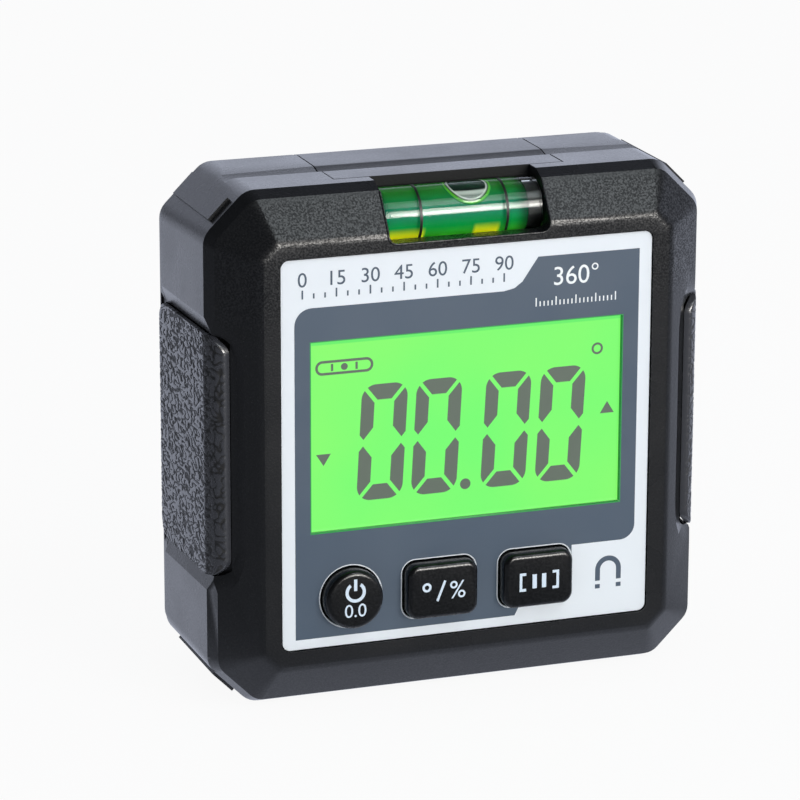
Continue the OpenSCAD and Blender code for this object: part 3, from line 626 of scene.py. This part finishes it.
def outline_mesh(loops, rise=PRINT_RISE):
    """Flat plate inside closed outlines; an outline within another is a hole."""
    curve = bpy.data.curves.new("outline", "CURVE")
    curve.dimensions = "2D"
    curve.fill_mode = "BOTH"
    curve.extrude = rise / 2
    for loop in loops:
        spline = curve.splines.new("POLY")
        spline.points.add(len(loop) - 1)
        for point, (x, z) in zip(spline.points, loop):
            point.co = (x, z, 0, 1)
        spline.use_cyclic_u = True
    return curve_mesh(curve)


def number_mesh(signs, x, z, height):
    """Plain number, centred on x and standing on z."""
    text = bpy.data.curves.new("number", "FONT")
    text.body = signs
    text.size = height / LETTER_SHARE
    text.align_x = "CENTER"
    text.extrude = PRINT_RISE / 2
    text.resolution_u = 6
    mesh = curve_mesh(text)
    mesh.transform(Matrix.Translation((x, z, 0)))
    return mesh


def print_flat(name, meshes, y, material, body, rise=PRINT_RISE):
    """Joins flat meshes into one thin film, its back on the plane of y."""
    bm = bmesh.new()
    for mesh in meshes:
        bm.from_mesh(mesh)
        bpy.data.meshes.remove(mesh)
    bmesh.ops.remove_doubles(bm, verts=bm.verts, dist=PRINT_MERGE)
    stand = Matrix.Translation((0, (y - rise / 2) * MM, 0)) @ Matrix.Rotation(pi / 2, 4, "X")
    bmesh.ops.transform(bm, matrix=stand @ Matrix.Scale(MM, 4), verts=bm.verts)
    show(name, bm, material, body)


# Case shells, keys and inner pieces

dress("front_case", CASE_BLACK, "case", soften=0.14, broad=0.55, valley=True)
dress("rear_cover", COVER_BLACK, "case", soften=0.12)
dress("battery_door", COVER_BLACK, "door", soften=0.12, valley=True)
dress("vial_cap", CAP_BLACK, "case", soften=CAP_ROUND)
dress("front_panel", PANEL_WHITE, "case", soften=0.05)
dress("power_button", KEY_BLACK, "power_key")
dress("unit_button", KEY_BLACK, "unit_key")
dress("hold_button", KEY_BLACK, "hold_key")
dress("lcd_glass", DISPLAY_GREEN, "case")
dress("vial_tube", VIAL_CLEAR, "case")
dress("vial_rings", RING_BLACK, "case")
dress("case_screws", STEEL, "case")
for magnet in ("left_magnet", "right_magnet"):
    dress(magnet, NICKEL, "case", soften=0.1)
for cell in ("left_cell", "right_cell"):
    dress(cell, CELL_WRAP, "case", soften=0.2)
INNER_FINISH = {
    CONTACT: ("left_spring", "right_spring", "left_contact", "right_contact", "bridge_contact"),
    STEEL: ("board_screws", "crystal"),
    BOARD_GREEN: ("circuit_board",),
    CHIP_BLACK: ("controller_chip", "tilt_sensor", "power_switch", "unit_switch", "hold_switch",
                 "display_frame", "vial_plug"),
    PALE_MOULD: ("power_plunger", "unit_plunger", "hold_plunger", "backlight"),
    STRIP_PINK: ("lcd_connector",)}
for finish, names in INNER_FINISH.items():
    for name in names:
        paint(name, finish)

# Rubber grips with a leather grain

RIM_Y, RIM_X = -7.15, 28.3
KNEE = (27.6, -9.0)
BEVEL_RUN, BEVEL_OUT = (-0.818, -0.575), (0.575, -0.818)
GRIP_STEP, GRIP_SMOOTHING = 0.125, 6
GRIP_CORNER = 2.0
GRIP_EDGE, GRIP_ROLL = 0.4, 0.2
CRACK_DEEP, CRACK_FREE = 0.075, (0.05, 0.3)
CRACK_WIDTH, CRACK_BREAK = (0.03, 0.19), (-0.6, -0.35)
FLANK_GRAIN, WRAP_GRAIN = (0.9, 1.9), (1.3, 1.15)
FLANK_SEED, WRAP_SEED = 3.0, 23.0
SKIRT, SKIRT_RUN = 0.6, (0.8, 0.35)


def grip_profile():
    """Points along the right grip in plan, from its rear end round to its tip on the bevel."""
    tip_run = (KNEE[1] - GRIP[0][1]) / -BEVEL_RUN[1]
    corners = [Vector((GRIP[1][0], GRIP[1][1])), Vector((RIM_X, RIM_Y)), Vector(KNEE),
               Vector(KNEE) + tip_run * Vector(BEVEL_RUN)]
    points = []
    for a, b in zip(corners, corners[1:]):
        count = max(1, round((b - a).length / GRIP_STEP))
        points += [a.lerp(b, i / count) for i in range(count)]
    points.append(corners[-1])
    for _ in range(GRIP_SMOOTHING):
        between = [(a + 2 * b + c) / 4 for a, b, c in zip(points, points[1:], points[2:])]
        points = [points[0], *between, points[-1]]
    return points


def along(points, y):
    """Point of the profile at a given y, with y falling from the rear to the front."""
    for a, b in zip(points, points[1:]):
        if b.y <= y:
            t = (a.y - y) / max(a.y - b.y, 1e-6)
            return a.lerp(b, min(max(t, 0), 1))
    return points[-1]


def crack_depth(s, z, seed, scales):
    """Worm-like cracks of a leather grain, from 0 on a plateau to 1 in a crack."""
    s, z = s * scales[0], z * scales[1]
    bend = 0.25 * noise.noise((s * 0.7, z * 0.7, seed + 5))
    line = abs(noise.noise((s + bend, z - bend, seed)))
    broken = smooth_step(*CRACK_BREAK, noise.noise((s * 0.7, z * 0.7, seed + 9)))
    return broken * (1 - smooth_step(*CRACK_WIDTH, line))


def grip_skin(node, side):
    """Grip skin as a grid of rows, sunk along its cracks and rolled over at its edge."""
    bm = bmesh.new()
    crackle = bm.verts.layers.float.new("crackle")
    profile = grip_profile()
    count = len(profile)
    bottom, top = GRIP[0][2], GRIP[1][2]
    rows = round((top - bottom) / GRIP_STEP)
    bmesh.ops.create_grid(bm, x_segments=count - 1, y_segments=rows, size=0.5)
    grid = sorted(bm.verts, key=lambda v: (round(v.co.y * rows), v.co.x))
    for j in range(rows + 1):
        z = bottom + (top - bottom) * j / rows
        end = min(z - bottom, top - z)
        cut = GRIP_CORNER - sqrt(GRIP_CORNER ** 2 - max(GRIP_CORNER - end, 0) ** 2)
        rear, front = profile[0].y - cut, profile[-1].y + cut
        for i in range(count):
            y = rear + (front - rear) * (profile[0].y - profile[i].y) / (profile[0].y - profile[-1].y)
            point = along(profile, y)
            edge = min(end + 0.3 * cut, i * GRIP_STEP, (count - 1 - i) * GRIP_STEP)
            roll = GRIP_ROLL * max(1 - edge / GRIP_EDGE, 0) ** 2
            turn = min(max((RIM_Y - y) / (RIM_Y - KNEE[1]), 0), 1)
            flank = crack_depth(i * GRIP_STEP, z, FLANK_SEED + side, FLANK_GRAIN)
            wrap = crack_depth(i * GRIP_STEP, z, WRAP_SEED + side, WRAP_GRAIN)
            mark = (flank + (wrap - flank) * turn) * smooth_step(*CRACK_FREE, edge)
            out = Vector((1, 0)).lerp(Vector(BEVEL_OUT), turn).normalized()
            place = point - out * (roll + CRACK_DEEP * mark)
            vert = grid[j * count + i]
            vert.co = Vector((side * place.x, place.y, z)) * MM
            vert[crackle] = mark
    bmesh.ops.recalc_face_normals(bm, faces=bm.faces)
    if sum(f.normal.x for f in bm.faces) * side < 0:
        bmesh.ops.reverse_faces(bm, faces=bm.faces)
    border = [e for e in bm.edges if e.is_boundary]
    skirt = bmesh.ops.extrude_edge_only(bm, edges=border)
    lower = [v for v in skirt["geom"] if isinstance(v, bmesh.types.BMVert)]
    inward = Vector((-side * SKIRT_RUN[0], SKIRT_RUN[1], 0))
    bmesh.ops.translate(bm, verts=lower, vec=inward * SKIRT * MM)
    bmesh.ops.holes_fill(bm, edges=[e for e in bm.edges if e.is_boundary])
    bmesh.ops.recalc_face_normals(bm, faces=bm.faces)
    round_shade(bm, radians(60))
    show(node + "_skin", bm, GRIP_RUBBER, "case", replaces=node)


grip_skin("left_grip", -1)
grip_skin("right_grip", 1)

# Vial liquid and its bubble

BORE_R = (LIQUID[1][2] - LIQUID[0][2]) / 2
WETTING = 0.06
LIQUID_SPAN, LIQUID_ROUND = (-8.75, 7.75), 0.5
BUBBLE_X, BUBBLE_HALF = 1.1, 2.7
BUBBLE_LIFT, BUBBLE_TURN, BUBBLE_SWELL = 82, 58, 0.3


def vial_liquid():
    """Liquid that wets the bore, so that the tube shows it at full width."""
    bm = bmesh.new()
    start, end = LIQUID_SPAN
    bmesh.ops.create_cone(bm, cap_ends=True, segments=96, radius1=BORE_R + WETTING, radius2=BORE_R + WETTING,
                          depth=end - start)
    ends = [e for e in bm.edges if e.calc_face_angle(0) > 1]
    bmesh.ops.bevel(bm, geom=ends, offset=LIQUID_ROUND, segments=4, profile=0.5, affect="EDGES", material=-1)
    centre = ((start + end) / 2, VIAL_C[1], VIAL_C[2])
    turn = Matrix.Scale(MM, 4) @ Matrix.Translation(centre) @ Matrix.Rotation(pi / 2, 4, "Y")
    bmesh.ops.transform(bm, matrix=turn, verts=bm.verts)
    round_shade(bm, radians(50))
    show("vial_liquid_skin", bm, VIAL_GREEN, "case", replaces="vial_liquid")


def vial_bubble():
    """Air bubble pressed against the upper front of the bore, bent round it."""
    bm = bmesh.new()
    rim = bm.verts.layers.float.new("rim")
    rise = bm.verts.layers.float.new("rise")
    bmesh.ops.create_uvsphere(bm, u_segments=64, v_segments=32, radius=1)
    for vert in bm.verts:
        u, out, v = vert.co
        lift = radians(BUBBLE_LIFT + BUBBLE_TURN * v)
        r = BORE_R + WETTING + BUBBLE_SWELL * out
        y, z = VIAL_C[1] - r * cos(lift), VIAL_C[2] + r * sin(lift)
        vert.co = Vector((BUBBLE_X + BUBBLE_HALF * u, y, z)) * MM
        vert[rim] = sqrt(u * u + v * v)
    low = min(vert.co.z for vert in bm.verts)
    high = max(vert.co.z for vert in bm.verts)
    for vert in bm.verts:
        vert[rise] = (vert.co.z - low) / (high - low)
    bmesh.ops.recalc_face_normals(bm, faces=bm.faces)
    round_shade(bm, pi)
    show("vial_bubble", bm, BUBBLE, "case")


vial_liquid()
vial_bubble()

# Raised bead round the open sides of the vial window

LIP_HALF, LIP_LOW, LIP_CORNER, LIP_R = 9.2, 51.0, 1.0, 0.13
LIP_RISE = (56.2, 54.0, 52.6, 52.4, 52.2)
LIP_FACE = ((50.0, -11.85), (51.6, -11.85), (51.83, -11.81), (52.22, -11.68), (52.6, -11.45), (56.3, -8.85))


def on_face(z):
    """Depth of the case's front at a height near the window."""
    for (z0, y0), (z1, y1) in zip(LIP_FACE, LIP_FACE[1:]):
        if z <= z1:
            return y0 + (y1 - y0) * (z - z0) / (z1 - z0)
    return LIP_FACE[-1][1]


def window_lip():
    """Round bead down one side of the window, along its sill and up the other side."""
    left = [(-LIP_HALF, z) for z in LIP_RISE]
    left += arc(LIP_CORNER - LIP_HALF, LIP_LOW + LIP_CORNER, LIP_CORNER, 180, 270, 8)
    path = left + [(-x, z) for x, z in reversed(left)]
    curve = bpy.data.curves.new("lip", "CURVE")
    curve.dimensions = "3D"
    curve.bevel_depth = LIP_R
    curve.bevel_resolution = 3
    curve.use_fill_caps = True
    spline = curve.splines.new("POLY")
    spline.points.add(len(path) - 1)
    for point, (x, z) in zip(spline.points, path):
        point.co = (x, on_face(z), z, 1)
    mesh = curve_mesh(curve)
    bm = bmesh.new()
    bm.from_mesh(mesh)
    bpy.data.meshes.remove(mesh)
    bmesh.ops.scale(bm, vec=(MM, MM, MM), verts=bm.verts)
    bmesh.ops.remove_doubles(bm, verts=bm.verts, dist=CUT_MERGE * MM)
    bmesh.ops.recalc_face_normals(bm, faces=bm.faces)
    round_shade(bm, radians(60))
    show("window_lip", bm, CASE_BLACK, "case")


window_lip()

# Slate print on the panel, and the lining of the display window between the panel's face and the glass,
# painted green as the display's light and shade on the recess wall

PANEL_Y = PANEL[0][1]
LCD_HALF = 17.9
LCD_Z0, LCD_Z1 = 19.75, 41.1
KEY_HOLE_W, KEY_HOLE_H, KEY_HOLE_R = 8.5, 6.6, 1.5
POWER_HOLE_R = 3.5
OUTLINE = 0.13
LINING_T = 0.1
LINING_DEEP = GLASS[0][1] - PANEL_Y + PRINT_RISE
WINDOW = box_loop(-LCD_HALF, LCD_HALF, LCD_Z0, LCD_Z1)


def panel_print(name, meshes, material, y=PANEL_Y):
    print_flat(name, meshes, y, material, "case")


def key_hole(centre, grow):
    w, h = KEY_HOLE_W / 2 + grow, KEY_HOLE_H / 2 + grow
    return round_rect(centre[0] - w, centre[0] + w, centre[2] - h, centre[2] + h, KEY_HOLE_R + grow)


def slate_field():
    """Outline of the slate print: a block round the display with a raised tab and a lower left apron."""
    left, right, top, tab_top = -19.6, 19.65, 44.8, 48.3
    shelf, bottom = 15.4, 8.0
    upper_r, lower_r = 1.9, 1.7
    hold_right = HOLD_C[0] + KEY_HOLE_W / 2 + OUTLINE
    hold_low = HOLD_C[2] - KEY_HOLE_H / 2 - OUTLINE
    outer = [(right, tab_top), (7.9, tab_top), (6.1, 45.7), (5.2, 45.05), (4.0, top)]
    outer += arc(left + upper_r, top - upper_r, upper_r, 90, 180)
    outer += [(left, bottom), (5.6, bottom), (6.1, hold_low), (hold_right - 1.5, hold_low)]
    outer += [(hold_right, HOLD_C[2] - 1), (hold_right, shelf)]
    outer += arc(right - lower_r, shelf + lower_r, lower_r, 270, 360)
    return outer


def slate_print():
    power_hole = circle(POWER_C[0], POWER_C[2], POWER_HOLE_R + OUTLINE)
    holes = [WINDOW, power_hole, key_hole(UNIT_C, OUTLINE), key_hole(HOLD_C, OUTLINE)]
    panel_print("slate_print", [outline_mesh([slate_field(), *holes])], SLATE_INK)


def window_lining():
    inner = box_loop(LINING_T - LCD_HALF, LCD_HALF - LINING_T, LCD_Z0 + LINING_T, LCD_Z1 - LINING_T)
    # The lining's colour is painted light: the display's green glow and shade on the recess wall.
    lining = outline_mesh([WINDOW, inner], LINING_DEEP)
    print_flat("window_lining", [lining], GLASS[0][1], LINING_PAINTED_GLOW, "case", LINING_DEEP)


slate_print()
window_lining()

# Degree scale on the panel's head, and the number on its tab

SCALE_X0, SCALE_X1, SCALE_Z = -18.7, 4.0, 45.85
SCALE_TOP, SCALE_STEP, SCALE_NUMBER = 90, 5, 15
TICK_HALF, TICK_LONG, TICK_SHORT = 0.09, 0.95, 0.55
NUMBER_LIFT, NUMBER_HIGH = 1.3, 1.55
TAB_X, TAB_Z, TAB_HIGH = 12.3, 45.0, 2.0
TAB_TICKS, TAB_PITCH, TAB_TICK_HALF = 21, 0.46, 0.07
TAB_FOOT, TAB_LONG, TAB_SHORT = 42.8, 43.75, 43.35


def degree_scale():
    numbers, ticks = [], []
    for angle in range(0, SCALE_TOP + 1, SCALE_STEP):
        x = SCALE_X0 + (SCALE_X1 - SCALE_X0) * angle / SCALE_TOP
        numbered = angle % SCALE_NUMBER == 0
        tick = TICK_LONG if numbered else TICK_SHORT
        ticks.append(box_loop(x - TICK_HALF, x + TICK_HALF, SCALE_Z, SCALE_Z + tick))
        if numbered:
            numbers.append(number_mesh(str(angle), x, SCALE_Z + NUMBER_LIFT, NUMBER_HIGH))
    panel_print("degree_scale", numbers + [outline_mesh(ticks)], SLATE_INK)


def tab_scale():
    ticks = []
    for i in range(TAB_TICKS):
        x = TAB_X + TAB_PITCH * (i - (TAB_TICKS - 1) / 2)
        high = TAB_LONG if i % 5 == 0 else TAB_SHORT
        ticks.append(box_loop(x - TAB_TICK_HALF, x + TAB_TICK_HALF, TAB_FOOT, high))
    number = number_mesh("360°", TAB_X, TAB_Z, TAB_HIGH)
    panel_print("tab_scale", [number, outline_mesh(ticks)], TAB_INK, PANEL_Y - PRINT_RISE)


degree_scale()
tab_scale()

# Display segments

DIGIT_W, DIGIT_Z0, DIGIT_Z1 = 5.2, 22.8, 35.65
DIGIT_LEFTS = (-11.83, -5.63, 2.35, 8.68)
DIGIT_R = 1.6
SLANT = 0.054
BAR_V, BAR_H = 1.48, 1.72
SPLIT, SPLIT_TURN = 0.32, 8
WAIST, WAIST_OUTER, WAIST_TIP, WAIST_INNER = 0.36, 0.55, 0.45, 1.3
POINT_X, POINT_Z, POINT_R = -0.05, 23.5, 0.6
RING_X, RING_Z, RING_OUTER, RING_INNER = 15.13, 37.33, 0.66, 0.42
ARROW_DOWN = [(-17.03, 28.43), (-16.21, 27.13), (-15.39, 28.43)]
ARROW_UP = [(15.57, 29.94), (17.2, 29.94), (16.39, 31.26)]


def zero_segments(x0):
    """The six lit segments of a zero, each cut at a slant where it meets its neighbours."""
    x1, z0, z1 = x0 + DIGIT_W, DIGIT_Z0, DIGIT_Z1
    mid = (z0 + z1) / 2
    cx, cz = x0 + DIGIT_R, z1 - DIGIT_R
    top = arc(x1 - DIGIT_R, cz, DIGIT_R, 45 + SPLIT_TURN, 90, 5)
    top += arc(cx, cz, DIGIT_R, 90, 135 - SPLIT_TURN, 5)
    top += [(x0 + BAR_V + SPLIT, z1 - BAR_H), (x1 - BAR_V - SPLIT, z1 - BAR_H)]
    left = arc(cx, cz, DIGIT_R, 135 + SPLIT_TURN, 180, 5)
    left += [(x0, mid + WAIST + WAIST_OUTER), (x0 + WAIST_TIP, mid + WAIST),
             (x0 + BAR_V, mid + WAIST + WAIST_INNER), (x0 + BAR_V, z1 - BAR_H - SPLIT)]
    parts = [top, left, [(x0 + x1 - x, z) for x, z in left]]
    parts += [[(x, z0 + z1 - z) for x, z in part] for part in parts]
    return [[(x + SLANT * (z - z0), z) for x, z in part] for part in parts]


def level_icon():
    """Small spirit vial sign in the display's upper left corner."""
    x0, x1, z0, z1 = -17.1, -10.6, 37.15, 38.75
    wall, gap = 0.28, 0.4
    return [round_rect(x0, x1, z0, z1, 0.78), round_rect(x0 + wall, x1 - wall, z0 + wall, z1 - wall, 0.5),
            box_loop(-15.35, -15.1, z0 + gap, z1 - gap), box_loop(-12.6, -12.35, z0 + gap, z1 - gap),
            circle(-13.85, 37.95, 0.38)]


def display_segments():
    segments = level_icon()
    for left_top in DIGIT_LEFTS:
        segments += zero_segments(left_top - SLANT * (DIGIT_Z1 - DIGIT_Z0))
    segments.append(circle(POINT_X, POINT_Z, POINT_R))
    segments += [circle(RING_X, RING_Z, RING_OUTER), circle(RING_X, RING_Z, RING_INNER)]
    segments += [ARROW_DOWN, ARROW_UP]
    print_flat("display_segments", [outline_mesh(segments)], GLASS[0][1], SEGMENT_INK, "case")


display_segments()

# Key signs

KEY_Y = POWER[0][1]
SIGN_STROKE = 0.36


def key_print(name, meshes, body):
    print_flat(name, meshes, KEY_Y, KEY_INK, body)


def power_sign():
    """Open ring with a stroke, over a plain zero."""
    x, z = POWER_C[0], 13.3
    sign = [ring_arc(x, z, 0.98, 125, 415, SIGN_STROKE), bar(x, z + 0.15, x, 14.75, SIGN_STROKE)]
    key_print("power_sign", [outline_mesh(sign), number_mesh("0.0", x, 10.5, 1.45)], "power_key")


def unit_sign():
    """Degree ring, a slanted stroke and a percent sign."""
    x, z = UNIT_C[0], 11.4
    ring_x, ring_z = x - 1.95, z + 1.5
    sign = [circle(ring_x, ring_z, 0.52), circle(ring_x, ring_z, 0.26),
            bar(x - 0.75, z - 0.15, x + 0.15, z + 2.1, 0.27)]
    key_print("unit_sign", [outline_mesh(sign), number_mesh("%", x + 1.6, z, 1.95)], "unit_key")


def hold_sign():
    """Two pause bars between square brackets."""
    x, z = HOLD_C[0], 12.25
    half, reach, stroke = 1.05, 0.75, 0.3
    sign = [bar(x + s * 0.55, z - 0.8, x + s * 0.55, z + 0.8, 0.5) for s in (-1, 1)]
    for s in (-1, 1):
        back = x + s * 2.3
        tip, inner = back - s * reach, back - s * stroke
        sign.append([(tip, z + half), (back, z + half), (back, z - half), (tip, z - half),
                     (tip, z - half + stroke), (inner, z - half + stroke),
                     (inner, z + half - stroke), (tip, z + half - stroke)])
    key_print("hold_sign", [outline_mesh(sign)], "hold_key")


power_sign()
unit_sign()
hold_sign()

# Magnet sign

MAGNET_X, MAGNET_R, MAGNET_HALF = 16.62, 1.24, 0.285
MAGNET_TOP, MAGNET_FOOT = 13.69, 10.91
TIP_LOW, TIP_HIGH = 10.02, 10.5


def magnet_sign():
    """Horseshoe with its two tips set off below it."""
    outer, inner = MAGNET_R + MAGNET_HALF, MAGNET_R - MAGNET_HALF
    bend = MAGNET_TOP - outer
    shoe = arc(MAGNET_X, bend, outer, 0, 180, 24)
    shoe += [(MAGNET_X - outer, MAGNET_FOOT), (MAGNET_X - inner, MAGNET_FOOT)]
    shoe += arc(MAGNET_X, bend, inner, 180, 0, 24)
    shoe += [(MAGNET_X + inner, MAGNET_FOOT), (MAGNET_X + outer, MAGNET_FOOT)]
    tips = [box_loop(MAGNET_X - outer, MAGNET_X - inner, TIP_LOW, TIP_HIGH),
            box_loop(MAGNET_X + inner, MAGNET_X + outer, TIP_LOW, TIP_HIGH)]
    panel_print("magnet_sign", [outline_mesh([shoe, *tips])], SLATE_INK)


magnet_sign()

# Camera, solved from the photograph's straight edges

PHOTO_SIDE, SENSOR = 800, 36
TARGET = Vector((0, 0.65, 28.5)) * MM
AZIMUTH, ELEVATION, ROLL = radians(-20.13), radians(16.31), radians(0.285)
DISTANCE = 448.65 * MM
FOCAL_PIXELS = 4064
AXIS_PIXEL = (429.02, 410.82)


def set_camera():
    back = Vector((sin(AZIMUTH) * cos(ELEVATION), -cos(AZIMUTH) * cos(ELEVATION), sin(ELEVATION)))
    side = Vector((cos(AZIMUTH), sin(AZIMUTH), 0))
    up = back.cross(side)
    right = cos(ROLL) * side + sin(ROLL) * up
    over = cos(ROLL) * up - sin(ROLL) * side
    data = bpy.data.cameras.new("camera")
    data.sensor_width = SENSOR
    data.lens = SENSOR * FOCAL_PIXELS / PHOTO_SIDE
    data.shift_x = (PHOTO_SIDE / 2 - AXIS_PIXEL[0]) / PHOTO_SIDE
    data.shift_y = (AXIS_PIXEL[1] - PHOTO_SIDE / 2) / PHOTO_SIDE
    data.clip_start, data.clip_end = 0.01, 20
    camera = bpy.data.objects.new("camera", data)
    bpy.context.scene.collection.objects.link(camera)
    turn = Matrix((right, over, back)).transposed()
    camera.matrix_world = Matrix.Translation(TARGET + back * DISTANCE) @ turn.to_4x4()
    bpy.context.scene.camera = camera


# Light, floor and backdrop

COOL_WHITE = (0.94, 0.97, 1.03, 1)
SKY_WHITE = (0.9, 0.96, 1.15)
FLOOR_WHITE = (0.85, 0.85, 0.86, 1)
WORLD_LIGHT = 0.5
FLOOR_SHARE, FLOOR_HALF = 0.93, 3


def soft_lamp(name, toward, width, height, radiance, colour, sheen_only=False):
    """Rectangular lamp one metre off, along a direction, with its radiance given."""
    data = bpy.data.lights.new(name, "AREA")
    data.shape = "RECTANGLE"
    data.size, data.size_y = width, height
    data.energy = radiance * pi * width * height
    data.color = colour
    lamp = bpy.data.objects.new(name, data)
    bpy.context.scene.collection.objects.link(lamp)
    direction = Vector(toward).normalized()
    lamp.location = TARGET + direction
    lamp.rotation_euler = direction.to_track_quat("Z", "Y").to_euler()
    lamp.visible_diffuse = not sheen_only


def backdrop_light(tree, direction, floor):
    """Mask of rays that see the white backdrop, and its colour for them."""
    path = tree.nodes.new("ShaderNodeLightPath")
    glossy = path.outputs["Is Glossy Ray"]
    straight = math_node(tree, "MAXIMUM", path.outputs["Is Camera Ray"], path.outputs["Is Transmission Ray"])
    seen = math_node(tree, "MAXIMUM", straight, glossy)
    sweep = place_group(tree, BACKDROP)
    tree.links.new(direction, sweep.inputs["Direction"])
    sweep.inputs["Floor"].default_value = floor
    tint = tree.nodes.new("ShaderNodeVectorMath")
    tint.operation = "SCALE"
    tint.inputs[0].default_value = SKY_WHITE
    tree.links.new(sweep.outputs["Light"], tint.inputs["Scale"])
    return seen, mix_node(tree, glossy, (1, 1, 1, 1), tint.outputs[0])


def mix_shaders(tree, share, first, second, output):
    """Mixes two shaders into a tree's output."""
    mix = tree.nodes.new("ShaderNodeMixShader")
    tree.links.new(share, mix.inputs["Fac"])
    tree.links.new(first.outputs[0], mix.inputs[1])
    tree.links.new(second.outputs[0], mix.inputs[2])
    tree.links.new(mix.outputs[0], tree.nodes[output].inputs["Surface"])


def set_world():
    world = bpy.data.worlds.new("studio")
    bpy.context.scene.world = world
    world.use_nodes = True
    tree = world.node_tree
    ambient = tree.nodes["Background"]
    ambient.inputs["Color"].default_value = COOL_WHITE
    ambient.inputs["Strength"].default_value = WORLD_LIGHT
    white = tree.nodes.new("ShaderNodeBackground")
    seen, colour = backdrop_light(tree, tree.nodes.new("ShaderNodeTexCoord").outputs["Generated"], 0.0)
    tree.links.new(colour, white.inputs["Color"])
    mix_shaders(tree, seen, ambient, white, "World Output")


def floor_finish():
    """White floor that keeps the object's shadow and glows a little for the rays that see the backdrop."""
    material = bpy.data.materials.new("floor_white")
    material.use_nodes = True
    tree = material.node_tree
    matte = tree.nodes["Principled BSDF"]
    matte.inputs["Base Color"].default_value = FLOOR_WHITE
    matte.inputs["Roughness"].default_value = 0.9
    matte.inputs["Specular IOR Level"].default_value = 0.0
    glow = tree.nodes.new("ShaderNodeEmission")
    seen, colour = backdrop_light(tree, tree.nodes.new("ShaderNodeTexCoord").outputs["Object"], 1.0)
    tree.links.new(colour, glow.inputs["Color"])
    mix_shaders(tree, math_node(tree, "MULTIPLY", seen, FLOOR_SHARE), matte, glow, "Material Output")
    return material


def set_floor():
    bm = bmesh.new()
    bmesh.ops.create_grid(bm, x_segments=1, y_segments=1, size=FLOOR_HALF)
    mesh = bpy.data.meshes.new("floor")
    bm.to_mesh(mesh)
    bm.free()
    mesh.materials.append(floor_finish())
    floor = bpy.data.objects.new("floor", mesh)
    bpy.context.scene.collection.objects.link(floor)


soft_lamp("front_strip", (0.33, -0.92, 0.17), 0.5, 0.26, 11.3, (1, 0.98, 0.95))
soft_lamp("edge_sheen", (0.33, -0.9, 0.29), 0.55, 0.36, 10, (1, 0.96, 0.9), sheen_only=True)
soft_lamp("top_softbox", (0.33, -0.57, 0.75), 0.5, 0.4, 2.6, (0.92, 1, 1.04))
set_world()
set_floor()
set_camera()
bpy.context.scene.view_settings.view_transform = "Standard"
